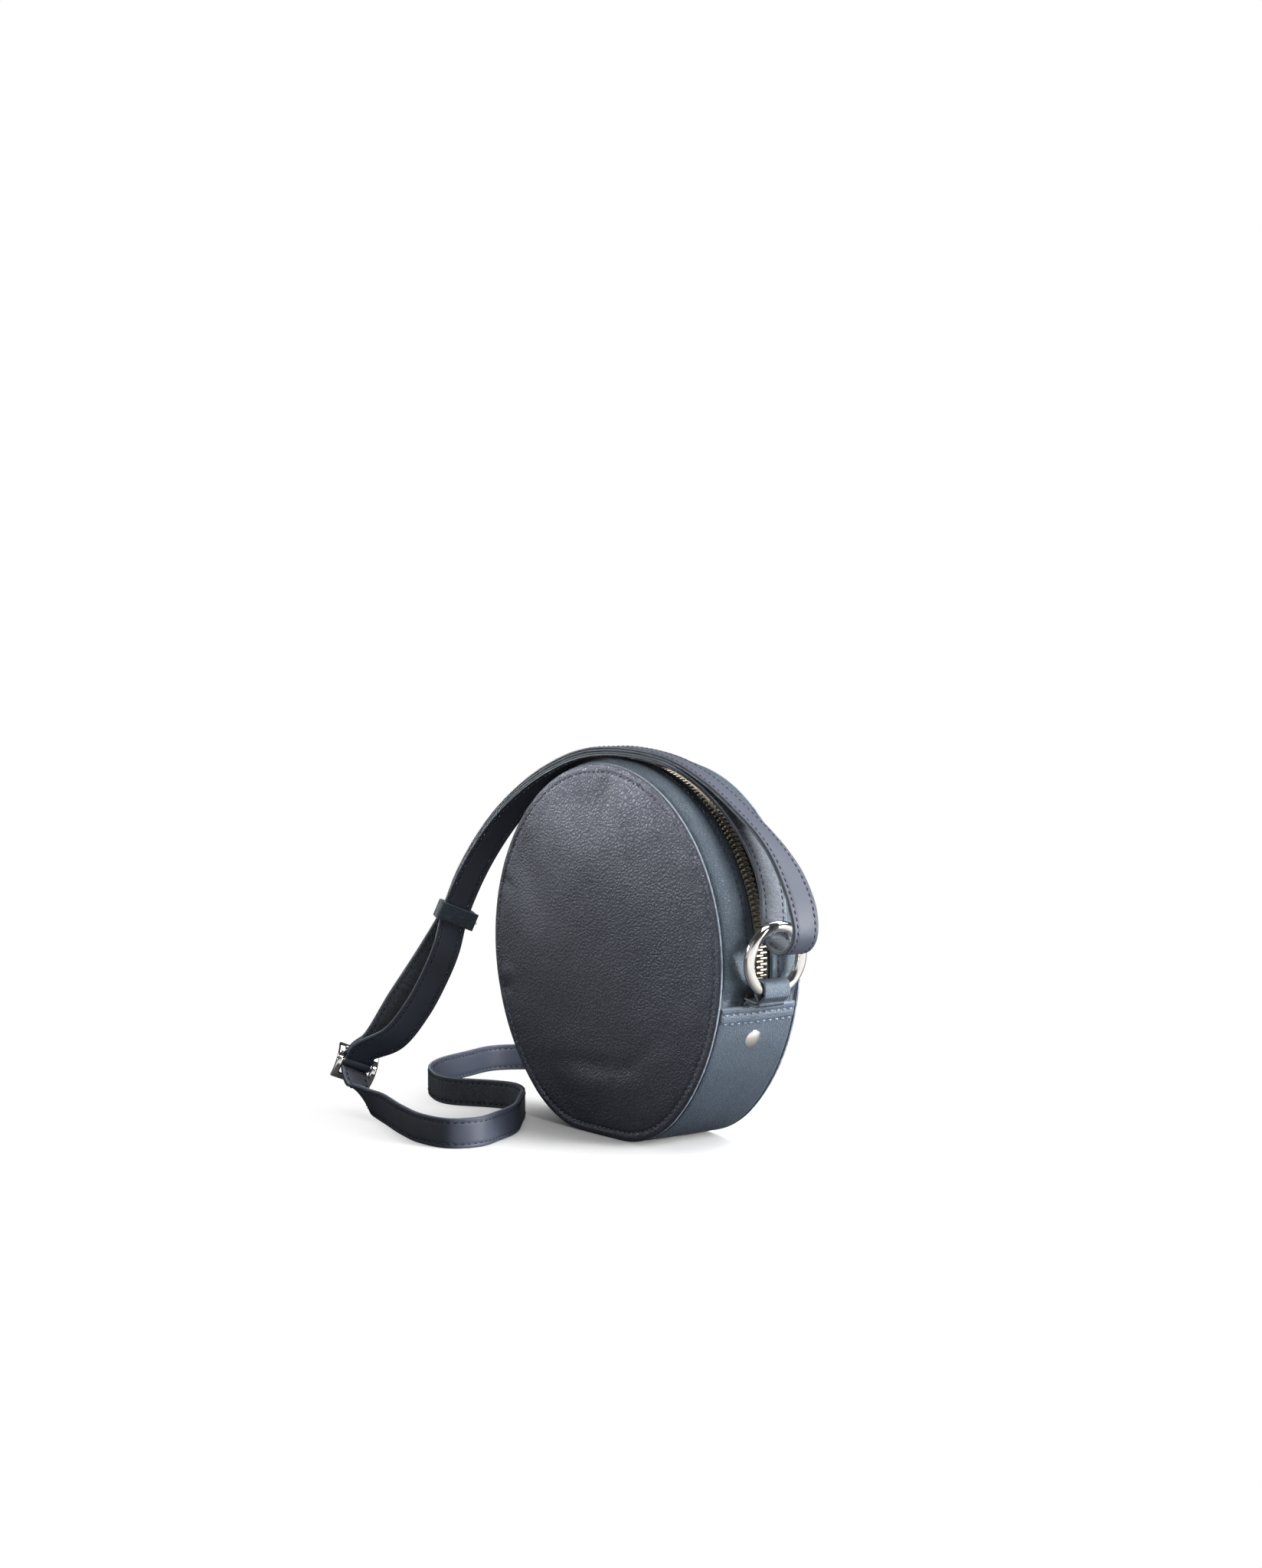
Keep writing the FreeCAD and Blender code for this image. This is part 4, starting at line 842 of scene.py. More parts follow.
def upper_strip(name, side, seed):
    reach = math.radians(HEM_ANGLE + STRIP_PAST_HEM - strip_end_angle()) * shell().panel_radius
    angles = over_top(STRIP_SPACING, reach)
    face = curve_through(STRIP_FACE, STRIP_STEPS)
    section = np.concatenate([face, STRIP_BACK]) * MM
    radii = np.broadcast_to(section[:, 0], (len(angles), len(section))).copy()
    along = np.radians(angles) * shell().panel_radius
    for column, depth in enumerate(section[:len(face), 1]):
        loose = hump(depth - PUFF_DEPTH, PUFF_REACH)
        radii[:, column] += PUFF * loose * (ripple_along(along, depth, PUFF_WAVE, seed) - 0.5)
        if side < 0:
            radii[:, column] += TOP_SWELL * loose * hump(angles - 90.0, TOP_SWELL_DEGREES)
        seam = hump(depth - SEAM_PUCKER_DEPTH, SEAM_PUCKER_REACH)
        radii[:, column] += SEAM_PUCKER * seam * ripple_along(along, depth, SEAM_PUCKER_WAVE, seed + 1)
    depths = -side * section[:, 1]
    radii, bent = under_hem(angles, radii, depths)
    lay = lay_grid(along, run_length(section))
    strip = tube_piece(name + "_leather", turned(bent, radii, depths), lay, shell_leather())
    sew_to_bag(strip, name)
    angles = over_top(STRIP_SPACING)
    radii = np.full((len(angles), 1), STRIP_STITCH_RADIUS)
    line = turned(angles, radii, -side * STRIP_STITCH_DEPTH)[:, 0]
    outward = upright(heading(angles), 0.0)
    pitch = shell().stitch_pitch
    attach(stitch_row(name + "_stitches", line, outward, pitch, SHELL_THREAD, sewing_thread()), "bag")


def zip_tape(name, side):
    angles = over_top(TAPE_SPACING)
    section = np.array(TAPE_SECTION) * MM
    radii = np.broadcast_to(TAPE_TOP + section[:, 0], (len(angles), len(section)))
    lay = lay_grid(np.radians(angles) * TAPE_TOP, run_length(section))
    weave = cloth_finish("zip_tape_weave", tuple(finish().tape), threads=1500.0)
    tape = tube_piece(name + "_weave", turned(angles, radii, side * section[:, 1]), lay, weave)
    sew_to_bag(tape, name)


class BAG_OT_upper_gusset(bpy.types.Operator):
    """Puffed leather strips either side of the zip"""

    bl_idname = "bag.upper_gusset"
    bl_label = "Upper Gusset"

    def execute(self, context):
        upper_strip("upper_gusset_front", -1, seed=21)
        upper_strip("upper_gusset_back", 1, seed=29)
        return {"FINISHED"}


class BAG_OT_zip(bpy.types.Operator):
    """Zip tapes, and the finish of teeth, sliders and pulls"""

    bl_idname = "bag.zip"
    bl_label = "Zip"

    def execute(self, context):
        zip_tape("zip_tape_front", -1)
        zip_tape("zip_tape_back", 1)
        teeth = metal_finish("zip_teeth_metal", tuple(finish().teeth), polish=0.27, rim=0.30)
        slider = metal_finish("zip_slider_metal", tuple(finish().slider), polish=0.36, rim=0.10)
        for name in ("zip_teeth_front", "zip_teeth_back", "zip_stops"):
            wear_finish(name, teeth)
        for name in ("zip_slider_right", "zip_slider_left", "zip_pull_right", "zip_pull_left"):
            wear_finish(name, slider)
            soften(name, SLIDER_SOFT)
        soften("zip_stops", STOP_SOFT)
        return {"FINISHED"}


# Lower gusset

HEM_ROWS = (3.2 * MM, 7.7 * MM)
HEM_PITCH, HEM_MARGIN, HEM_POINTS = 3.6 * MM, 1.2 * MM, 60
HEM_FINE, HEM_FINE_STEP = 10 * MM, 0.3 * MM
HEM_FOLD, HEM_FOLD_PAST, HEM_FOLD_REACH = 0.45 * MM, 0.6 * MM, 0.3 * MM
HEM_SINK, HEM_SINK_REACH = 0.28 * MM, 0.7 * MM
HEM_LIP, HEM_CUT = 0.6 * MM, 0.5 * MM
GUSSET_HALF = 22.3 * MM
GUSSET_SPACING, GUSSET_COLUMNS = 0.9 * MM, 23
CROWN, CROWN_SLOW, CROWN_QUICK = 0.5 * MM, 0.4 * MM, 0.16 * MM
CROWN_SLOW_WAVE, CROWN_QUICK_WAVE = 24 * MM, 9 * MM
CROWN_END, CROWN_FADE = 70 * MM, 20 * MM
GUSSET_TOP = 1.2 * MM

# Turned-in edge of the band: inset and sink, in millimetres, and the sinks across its back
GUSSET_EDGE = [(0.0, 5.5), (0.0, 3.0), (0.0, 1.2), (0.12, 0.6), (0.4, 0.2), (0.9, 0.0)]
GUSSET_BACK = [5.5, 1.9, 1.4, 1.4, 1.4, 1.9, 5.5]


def lower_run(spacing):
    """The outline from the left hem under the bag to the right hem, and the outward way."""
    return outline_run(outline_arcs()[1:], spacing)


def gusset_rise(along, total, depth):
    """How far the lower gusset's leather stands off the outline."""
    from_hem = np.minimum(along, total - along)
    under = np.clip((from_hem - CROWN_END) / CROWN_FADE, 0, 1)
    crown = np.clip(1 - (depth / GUSSET_HALF) ** 2, 0, 1) * (1 - under)
    rise = CROWN * crown + CROWN_SLOW * crown * ripple_along(along, depth, CROWN_SLOW_WAVE, 41)
    rise += CROWN_QUICK * crown * ripple_along(along, depth, CROWN_QUICK_WAVE, 43)
    rise += HEM_FOLD / (1 + np.exp((from_hem - HEM_ROWS[1] - HEM_FOLD_PAST) / HEM_FOLD_REACH))
    for row in HEM_ROWS:
        rise -= HEM_SINK * hump(from_hem - row, HEM_SINK_REACH)
    return rise - HEM_LIP * np.clip(1 - from_hem / HEM_LIP, 0, 1) ** 2


def gusset_stations():
    """Places along the lower gusset, close together at its hems: points, outward ways, distances."""
    flat, ways = lower_run(GUSSET_SPACING)
    along = run_length(flat)
    total = along[-1]
    fine = np.arange(0, HEM_FINE, HEM_FINE_STEP)
    middle = along[(along > HEM_FINE) & (along < total - HEM_FINE)]
    stops = np.concatenate([fine, middle, total - fine[::-1]])
    return read_along(stops, along, flat), unit(read_along(stops, along, ways)), stops


class BAG_OT_lower_gusset(bpy.types.Operator):
    """Leather band under the bag with its stitched hems"""

    bl_idname = "bag.lower_gusset"
    bl_label = "Lower Gusset"

    def execute(self, context):
        flat, ways, stops = gusset_stations()
        self.band(flat, ways, stops)
        self.hem_stitches(flat, ways, stops)
        return {"FINISHED"}

    def band(self, flat, ways, stops):
        total = stops[-1]
        near = np.array(GUSSET_EDGE) * MM
        span = np.linspace(-1, 1, GUSSET_COLUMNS)[1:-1] * (GUSSET_HALF - near[-1, 0])
        outer_sinks = np.concatenate([near[:, 1], np.zeros(len(span)), near[::-1, 1]])
        back = GUSSET_HALF - shell().leather * np.array([1, 1, 2])
        rim = GUSSET_HALF - near[::-1, 0]
        depths = np.concatenate([-rim[::-1], span, rim, back, [0], -back[::-1]])
        sinks = np.concatenate([outer_sinks, np.array(GUSSET_BACK) * MM])
        rise = np.zeros((len(stops), len(depths)))
        for column, share in enumerate(np.clip(1 - outer_sinks / GUSSET_TOP, 0, 1)):
            if share > 0:
                rise[:, column] = share * gusset_rise(stops, total, np.full(len(stops), depths[column]))
        grid = upright(flat[:, None] + ways[:, None] * (rise - sinks)[..., None], depths)
        lay = lay_grid(stops, run_length(np.stack([depths, sinks], -1)))
        cut = np.clip(1 - np.minimum(stops, total - stops) / HEM_CUT, 0, 1)[:, None]
        leather = tube_piece("lower_gusset_leather", grid, lay, shell_leather(), cut)
        sew_to_bag(leather, "lower_gusset")

    def hem_stitches(self, flat, ways, stops):
        total = stops[-1]
        reach = np.linspace(HEM_MARGIN - GUSSET_HALF, GUSSET_HALF - HEM_MARGIN, HEM_POINTS)
        for number, row in enumerate(HEM_ROWS, start=1):
            for side, stop in (("left", row), ("right", total - row)):
                point, way = read_along(stop, stops, flat), read_along(stop, stops, ways)
                rise = gusset_rise(np.full(len(reach), stop), total, reach)
                line = upright(point + way * rise[:, None], reach)
                outward = np.broadcast_to(upright(way, 0.0), line.shape)
                name = "hem_stitches_%s_%d" % (side, number)
                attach(stitch_row(name, line, outward, HEM_PITCH, HEM_THREAD, hem_thread()), "bag")


# Lining

LINING = 0.6 * MM
LINING_SPACING = 3 * MM
LINING_RINGS = np.linspace(0.02, 1, 24)
LINING_RIM, LINING_GAP, LINING_WAVE, LINING_WAVE_LENGTH = 1.7 * MM, 0.25 * MM, 0.25 * MM, 30 * MM
LINING_HALF = 19.85 * MM
LINING_SLACK_RATE = 5
STRIP_LINING_COLUMNS, BAND_LINING_COLUMNS = 8, 14
STRIP_LINING_RADIUS, STRIP_LINING_FROM = 85.7 * MM, 6.4 * MM
BAND_LINING_SINK = 4.3 * MM


def there_and_back(values):
    return np.concatenate([values, values[::-1]])


class BAG_OT_lining(bpy.types.Operator):
    """Woven lining behind the leather"""

    bl_idname = "bag.lining"
    bl_label = "Lining"

    def execute(self, context):
        self.cloth = cloth_finish("lining_weave", tuple(finish().lining), threads=1300.0)
        for side, name in ((-1, "front"), (1, "back")):
            self.disc(name + "_lining", side)
            self.strip("upper_lining_" + name, side)
        self.band()
        return {"FINISHED"}

    def sheet(self, name, grid, lay, flat, area=None):
        piece = tube_piece(name + "_cloth", grid, lay, self.cloth)
        sew_to_bag(piece, name)

    def disc(self, name, side):
        low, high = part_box(name)
        flat, ways = outline_run(outline_arcs(), LINING_SPACING)
        ring = flat - ways * LINING_RIM - BAG_MIDDLE
        grid = BAG_MIDDLE + ring * there_and_back(LINING_RINGS)[:, None, None]
        loose = np.clip((1 - there_and_back(LINING_RINGS)) * LINING_SLACK_RATE, 0, 1)[:, None]
        wave = ripple(upright(grid, 0.0).reshape(-1, 3), LINING_WAVE_LENGTH, 51 + side)
        wave = LINING_WAVE * wave.reshape(grid.shape[:2]) * loose
        faces_y = np.repeat([low.y, high.y], len(LINING_RINGS))[:, None]
        points = upright(grid, faces_y - side * LINING_GAP + wave)
        x, z = ring.T
        area = 0.5 * abs(np.sum(x * np.roll(z, -1) - z * np.roll(x, -1)))
        self.sheet(name, points, points[..., [0, 2]], (high.x - low.x, high.z - low.z), area)

    def strip(self, name, side):
        angles = over_top(LINING_SPACING)
        y = np.linspace(STRIP_LINING_FROM, LINING_HALF, STRIP_LINING_COLUMNS)
        depths = side * there_and_back(y)
        along = np.radians(angles) * STRIP_LINING_RADIUS
        radii = STRIP_LINING_RADIUS - np.repeat([0.0, LINING], len(y))
        grid = turned(angles, np.broadcast_to(radii, (len(angles), len(depths))), depths)
        lay = lay_grid(along, run_length(depths[:, None]))
        self.sheet(name, grid, lay, (y[-1] - y[0], along[-1] - along[0]))

    def band(self):
        flat, ways = lower_run(LINING_SPACING)
        y = np.linspace(-LINING_HALF, LINING_HALF, BAND_LINING_COLUMNS)
        depths = there_and_back(y)
        sinks = BAND_LINING_SINK + np.repeat([0.0, LINING], len(y))
        grid = upright(flat[:, None] - ways[:, None] * sinks[:, None], depths)
        along = run_length(flat - ways * BAND_LINING_SINK)
        lay = lay_grid(along, run_length(depths[:, None]))
        self.sheet("lower_lining", grid, lay, (y[-1] - y[0], along[-1]))


# Rings, tabs and rivets

RING_RADIUS = 15.4 * MM
RING_WIRE = 5.2 * MM
RING_LEAN = 8.0
RING_HANG = 14.0
RING_ROOM = 0.3 * MM
TAB_REACH = 7.6 * MM
TAB_TAIL = 88.35 * MM
TAB_CORNER, TAB_STEP = 0.45 * MM, 1.5 * MM
TAB_TURNS, TAB_CURVE_STEPS = np.linspace(-0.15, 1.15, 14) * math.pi, 8
EYE_OUT = 97.7 * MM
CUT_REACH, CUT_FADE = 0.3 * MM, 0.2 * MM
ACROSS = np.array([0.0, 1.0, 0.0])


def on_side(side):
    """What turns a place of the right side, in X and Z, to the side that is asked for."""
    return np.array([1.0 if side == "right" else -1.0, 1.0])


def hem_place(out, up, side):
    """A point in X and Z: distance from the bag's axis along the hem, and height above it."""
    way = heading(-HEM_ANGLE)
    rise = np.array([-way[1], way[0]])
    return (BAG_MIDDLE + way * out + rise * up) * on_side(side)


def ring_stand(side):
    """Where a ring sits in its tab and the way it stands or hangs, in X and Z."""
    foot = hem_place(EYE_OUT, TAB_REACH, side)
    return foot, heading(90 - RING_LEAN if side == "right" else RING_HANG - 90)


def ring_far(side):
    """The middle of a ring's wire across from its tab, in X and Z."""
    foot, way = ring_stand(side)
    return foot + way * 2 * RING_RADIUS


def tab_line(side):
    """The line of a tab's leather in X and Z: out of the bag, round the ring and back in."""
    half = TAB_LEATHER / 2
    foot, way = ring_stand(side)
    bend = RING_WIRE / 2 + RING_ROOM + half
    saddle = RING_RADIUS + RING_ROOM - math.sqrt(RING_RADIUS ** 2 - (TAB_WIDTH / 2) ** 2)
    spin = np.array([way[1], -way[0]])
    if spin[0] * on_side(side)[0] < 0:
        spin = -spin
    loop = []
    for angle in TAB_TURNS:
        lift = saddle * np.clip(2 * math.sin(angle), 0, 1) + bend * math.sin(angle)
        loop.append(foot + way * lift + spin * math.cos(angle) * bend)
    slot = SEAM_GAP + half
    over = slot + TAB_LEATHER
    under, back = TAB_TAIL - half, TAB_TAIL - half - TAB_LEATHER
    start = [
        (under, -17 * MM), (under, -9 * MM), (under, -3 * MM), (TAB_TAIL + 0.9 * MM, slot - 0.1 * MM),
        (TAB_TAIL + 4 * MM, slot), (EYE_OUT - 1.6 * MM, slot), (EYE_OUT + half - 0.1 * MM, slot + 1.1 * MM),
        (EYE_OUT + half + 0.1 * MM, slot + 2.6 * MM),
    ]
    end = [
        (EYE_OUT - half - 0.1 * MM, slot + 3.2 * MM), (EYE_OUT - 1.5 * MM, over + 0.4 * MM),
        (EYE_OUT - 3.6 * MM, over), (TAB_TAIL + 3 * MM, over), (TAB_TAIL - 0.6 * MM, over - 0.3 * MM),
        (back, -3 * MM), (back, -9 * MM), (back, -17 * MM),
    ]
    start, end = ([hem_place(*spot, side) for spot in spots] for spots in (start, end))
    return curve_through(start + loop + end, TAB_CURVE_STEPS)


def rounded_section(half_width, half_thick, corner):
    """A flat strip's section with soft corners."""
    points = []
    for sx, sy, first in ((1, 1, 0), (-1, 1, 90), (-1, -1, 180), (1, -1, 270)):
        middle = np.array([sx * (half_width - corner), sy * (half_thick - corner)])
        points += [middle + heading(degrees) * corner for degrees in np.linspace(first, first + 90, 4)]
    return np.array(points)


def divided(section, widest):
    """The section with its long sides divided."""
    points = []
    for a, b in zip(section, np.roll(section, -1, 0)):
        parts = max(1, int(np.linalg.norm(b - a) / widest))
        points += [a + (b - a) * part / parts for part in range(parts)]
    return np.array(points)


def cut_sides(section, width):
    """Mask of a strip's cut sides, round its section."""
    return np.clip((np.abs(section[:, 0]) - width / 2 + CUT_REACH) / CUT_FADE, 0, 1)


def ring_tab(side):
    line = upright(tab_line(side), 0.0)
    up = np.cross(unit(np.gradient(line, axis=0)), ACROSS)
    section = divided(rounded_section(TAB_WIDTH / 2, TAB_LEATHER / 2, TAB_CORNER), TAB_STEP)
    grid = line[:, None] + ACROSS * section[:, :1] + up[:, None] * section[:, 1:]
    lay = lay_grid(run_length(line), run_length(section))
    edge = 0.5 * cut_sides(section, TAB_WIDTH)
    tab = tube_piece("ring_tab_%s_leather" % side, grid, lay, shell_leather(), edge)
    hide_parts("ring_tab_" + side)
    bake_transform(tab)


class BAG_OT_trims(bpy.types.Operator):
    """Ring tabs, and the finish of rings, rivets and buckle"""

    bl_idname = "bag.trims"
    bl_label = "Tabs and Trims"

    def execute(self, context):
        ring_tab("right")
        ring_tab("left")
        nickel = metal_finish("nickel", tuple(finish().nickel), polish=0.07)
        for name in ("ring_right", "ring_left", "rivet_caps", "rivet_backs",
                     "buckle_frame", "buckle_bar", "keeper_staple"):
            wear_finish(name, nickel)
        soften("keeper_staple", STAPLE_SOFT)
        return {"FINISHED"}


# Strap: places and sizes of its route, in shares of the panel radius
# Angle, lift, depth and width direction where both runs lie on the bag
PAIR_ROWS = [
    (173.5, 0.031, -0.489, (0.29, 0.84, -0.455)),
    (162.4, 0.014, -0.433, (0.25, 0.88, -0.38)),
    (151.8, 0.011, -0.372, (0.20, 0.92, -0.30)),
    (140.0, 0.014, -0.303, (0.15, 0.95, -0.20)),
    (126.3, 0.016, -0.228, (0.08, 0.98, -0.10)),
    (115.9, 0.012, -0.194, (0.04, 0.99, -0.05)),
    (103.5, 0.011, -0.166, (0.02, 1.00, -0.02)),
    (91.2, 0.010, -0.139, (0.00, 1.00, 0.00)),
    (75.3, 0.022, -0.100, (-0.02, 1.00, -0.08)),
    (65.0, 0.038, -0.066, (-0.06, 0.98, -0.14)),
]
INNER_ROWS = [
    (55.0, 0.036, -0.010, (-0.05, 1.00, -0.07)),
    (42.0, 0.036, 0.038, (0.00, 1.00, 0.00)),
    (30.0, 0.040, 0.058, (0.00, 1.00, 0.00)),
    (21.0, 0.044, 0.052, (0.00, 1.00, 0.00)),
]
OUTER_ROWS = [
    (14.2, 0.283, 0.020, (0.16, 0.99, 0.00)),
    (21.1, 0.242, 0.028, (0.06, 1.00, 0.00)),
    (27.1, 0.209, 0.020, (-0.12, 0.99, -0.05)),
    (32.9, 0.173, 0.009, (-0.20, 0.97, -0.11)),
    (39.3, 0.133, -0.004, (-0.20, 0.97, -0.15)),
    (53.0, 0.086, -0.035, (-0.12, 0.98, -0.17)),
]
# Places in X, Y and Z and width direction where the runs hang free
INNER_DROP = [
    (-1.240, -0.789, 0.422, (0.35, 0.79, -0.50)),
    (-1.156, -0.689, 0.583, (0.34, 0.80, -0.49)),
    (-1.100, -0.606, 0.767, (0.32, 0.82, -0.48)),
    (-1.060, -0.556, 0.922, (0.30, 0.83, -0.47)),
]
OUTER_DROP = [
    (-1.178, -0.594, 0.872, (0.30, 0.83, -0.47)),
    (-1.278, -0.722, 0.622, (0.32, 0.81, -0.49)),
    (-1.383, -0.833, 0.378, (0.34, 0.80, -0.50)),
]
BUCKLE_TURN = (-1.497, -0.894, 0.243, (0.34, 0.79, -0.51))
TAIL_START = [
    (-1.333, -0.956, 0.128, (0.25, 0.65, -0.72)),
    (-1.200, -0.978, 0.094, (0.10, 0.30, -0.95)),
]
# Places in X and Y where the tail stands on its edge
FLOOR_ROWS = [
    (-1.044, -0.989), (-0.656, -1.100), (-0.400, -1.144), (-0.200, -1.100), (-0.144, -0.956),
    (-0.222, -0.778), (-0.333, -0.600), (-0.533, -0.422), (-0.733, -0.267), (-0.889, -0.222),
    (-1.022, -0.267), (-1.233, -0.400), (-1.333, -0.411), (-1.489, -0.367), (-1.689, -0.256),
    (-1.856, -0.078), (-1.978, 0.200), (-2.056, 0.444), (-1.967, 0.633), (-1.778, 0.800),
    (-1.533, 0.778), (-1.356, 0.589),
]
TAIL_RISE = [
    (-1.250, 0.345, 0.100, (0.05, -0.35, -0.93)),
    (-1.135, 0.165, 0.160, (0.10, -0.75, -0.60)),
    (-1.035, 0.040, 0.262, (0.05, -0.97, -0.20)),
]
CREST = 92.5 * MM
LOOP_INNER_GAP, LOOP_REACH, LOOP_DROP, LOOP_SKEW = 1.9 * MM, 16.2 * MM, 0.55 * MM, 0.4 * MM
END_LOOP_RADIUS, END_LOOP_NECK, END_LOOP_TAIL = 6 * MM, 13 * MM, 10 * MM
END_LOOP_TURNS = (200, 150, 90, 30, -20)
BUCKLE_LENGTH, BUCKLE_CROSS, BUCKLE_BOW = 18 * MM, 2.8 * MM, 5 * MM
BUCKLE_BAR, BUCKLE_SLACK, SLEEVE_GAP = 2.8 * MM, 0.6 * MM, 0.15 * MM
ROUTE_SPACING, TWIST_STEPS = 0.75 * MM, 13
DOWN = np.array([0.0, 0.0, -1.0])


def between(first, second, at, low, high):
    return first + (second - first) * (at - low) / (high - low)


class StrapRoute:
    """The strap's line from its sewn end at the buckle, over the bag and back, to the left ring."""

    def __init__(self):
        sizes = strap_sizes()
        self.radius = shell().panel_radius
        self.thick = 2 * sizes.layer
        self.rows = []
        self.marks = {}
        self.place_buckle(sizes)
        self.lay_over_bag(sizes)
        self.lay_tail(sizes)
        self.smooth()

    def on_bag(self, row, layers):
        degrees, lift, y, width = row
        flat = heading(degrees) * (CREST + lift * self.radius + layers * self.thick) + BAG_MIDDLE
        return upright(flat, y * self.radius), np.array(width)

    def in_space(self, row):
        return np.array(row[:3]) * self.radius, np.array(row[3])

    def pair(self, side, gap):
        """Rows of one of the two runs where they lie on each other."""
        middle = [self.on_bag(row, 1) for row in PAIR_ROWS]
        points = []
        for index, (point, width) in enumerate(middle):
            along = middle[min(index + 1, len(middle) - 1)][0] - middle[max(index - 1, 0)][0]
            points.append((point + unit(np.cross(along, width)) * side * (self.thick + gap) / 2, width))
        return points

    def mark(self, name):
        self.marks[name] = len(self.rows) - 1

    def place_buckle(self, sizes):
        """Where the buckle's bar lies, and how the strap travels through the buckle."""
        self.turn, turn_width = self.in_space(BUCKLE_TURN)
        before, after = self.in_space(OUTER_DROP[-1])[0], self.in_space(TAIL_START[0])[0]
        self.travel = unit(after - before)
        self.bar_way = square_to(self.travel, turn_width)
        self.toward = np.cross(self.travel, self.bar_way)
        self.sleeve = BUCKLE_BAR / 2 + SLEEVE_GAP + sizes.layer
        self.bar = self.turn + self.toward * (self.sleeve + 2 * BUCKLE_SLACK + self.thick / 2)

    def lay_over_bag(self, sizes):
        """Rows from the sewn end over the bag, round the right ring and back."""
        inner = [self.in_space(row) for row in INNER_DROP]
        self.keeper_inner = inner[-1][0]
        pull = square_to(self.bar_way, inner[0][0] - self.bar)
        for reach in (self.sleeve, BUCKLE_LENGTH / 2):
            self.rows.append((self.bar + pull * reach, self.bar_way))
        self.rows += inner + self.pair(-1, sizes.gap)
        self.mark("loop_start")
        self.rows += [self.on_bag(row, 0.5) for row in INNER_ROWS]
        loop_radius = (RING_WIRE / 2 + LOOP_INNER_GAP + self.thick / 2 + LOOP_REACH) / 2
        centre = ring_far("right") + np.array([LOOP_REACH - loop_radius, -LOOP_DROP])
        loop_y = OUTER_ROWS[0][2] * self.radius
        for degrees in range(180, 361, 30):
            skew = LOOP_SKEW * (360 - degrees) / 180
            self.rows.append((upright(centre + heading(degrees) * loop_radius, loop_y + skew), ACROSS))
        self.rows += [self.on_bag(row, 0.5) for row in OUTER_ROWS]
        outer = self.pair(1, sizes.gap)[::-1]
        self.rows.append(outer[0])
        self.mark("loop_end")
        self.rows += outer[1:] + [self.in_space(row) for row in OUTER_DROP]

    def lay_tail(self, sizes):
        """Rows through the buckle, over the floor and up to the loop on the left ring."""
        rise, reach = BUCKLE_BOW + self.thick, BUCKLE_LENGTH / 2 - BUCKLE_CROSS
        self.rows.append((self.turn - self.travel * reach + self.toward * rise, self.bar_way))
        self.rows.append(self.in_space(BUCKLE_TURN))
        self.mark("buckle")
        self.rows.append((self.turn + self.travel * reach + self.toward * rise, self.bar_way))
        self.rows += [self.in_space(row) for row in TAIL_START]
        self.marks["tail_lies"] = len(self.rows) + 1
        height = sizes.width / 2 + sizes.gap
        self.rows += [(np.array([x * self.radius, y * self.radius, height]), DOWN) for x, y in FLOOR_ROWS]
        self.marks["tail_rises"] = len(self.rows) - 2
        self.rows += [self.in_space(row) for row in TAIL_RISE]
        bottom = upright(ring_far("left"), 0.0)
        seam = np.array([(self.thick + sizes.gap) / 2, 0.0, 0.0])
        neck = bottom + DOWN * END_LOOP_NECK
        loop = [bottom + upright(heading(degrees), 0.0) * END_LOOP_RADIUS for degrees in END_LOOP_TURNS]
        end = [neck + seam, neck + seam + DOWN * END_LOOP_TAIL]
        self.rows += [(place, -ACROSS) for place in (neck - seam, *loop, *end)]

    def smooth(self):
        """Even stations along the line, each with its width and upward direction."""
        points, widths = (np.array(column) for column in zip(*self.rows))
        guide = with_guides(points)
        places, turns, self.starts = [], [], [0]
        for index in range(len(points) - 1):
            near = guide[index:index + 4]
            chords = np.linalg.norm(np.diff(near, axis=0), axis=1)
            knots = np.concatenate([[0], np.cumsum(np.sqrt(chords))])
            steps = max(3, int(chords[1] / ROUTE_SPACING))
            at = np.linspace(knots[1], knots[2], steps, endpoint=False)[:, None]
            level = [between(near[i], near[i + 1], at, knots[i], knots[i + 1]) for i in range(3)]
            level = [between(level[i], level[i + 1], at, knots[i], knots[i + 2]) for i in range(2)]
            places.append(between(*level, at, knots[1], knots[2]))
            turns.append(between(widths[index], widths[index + 1], at, knots[1], knots[2]))
            self.starts.append(self.starts[-1] + steps)
        self.place = np.concatenate([*places, points[-1:]])
        width = np.concatenate([*turns, widths[-1:]])
        kernel = np.hanning(TWIST_STEPS)
        kernel /= kernel.sum()
        padded = np.pad(width, ((TWIST_STEPS // 2, TWIST_STEPS // 2), (0, 0)), "edge")
        width = np.stack([np.convolve(column, kernel, "valid") for column in padded.T], -1)
        way = unit(np.gradient(self.place, axis=0))
        self.width = square_to(way, width)
        self.up = np.cross(way, self.width)
        self.along = run_length(self.place)


SKIN_COLUMNS = 29
SKIN_MARGIN, SIDE_OUTER, SIDE_INNER, BACK_MARGIN = 0.25 * MM, 0.28 * MM, 0.25 * MM, 0.2 * MM
PILLOW, STITCH_SINK, STITCH_SINK_REACH = 0.06 * MM, 0.20 * MM, 0.55 * MM
BACK_EDGE = [1.0, 1.0, 0.6, 0.0, 0.6, 1.0, 1.0]
WRINKLE_STRETCH_SHARE, WRINKLE_CALM = 0.14, 1.2 * MM
FACE_WAVE, FACE_WAVE_LENGTH = 0.05 * MM, 14 * MM
FOLD_LENGTH, FINE_FOLD_LENGTH, FINE_FOLD_SHARE = 2.6 * MM, 1.5 * MM, 0.6
SLEEVE_STEPS = 32
SLEEVE_EDGE = np.array([0.0, 0.0, 0.0, 1.0, 1.0, 0.0, 0.0, 0.0, 1.0, 1.0])
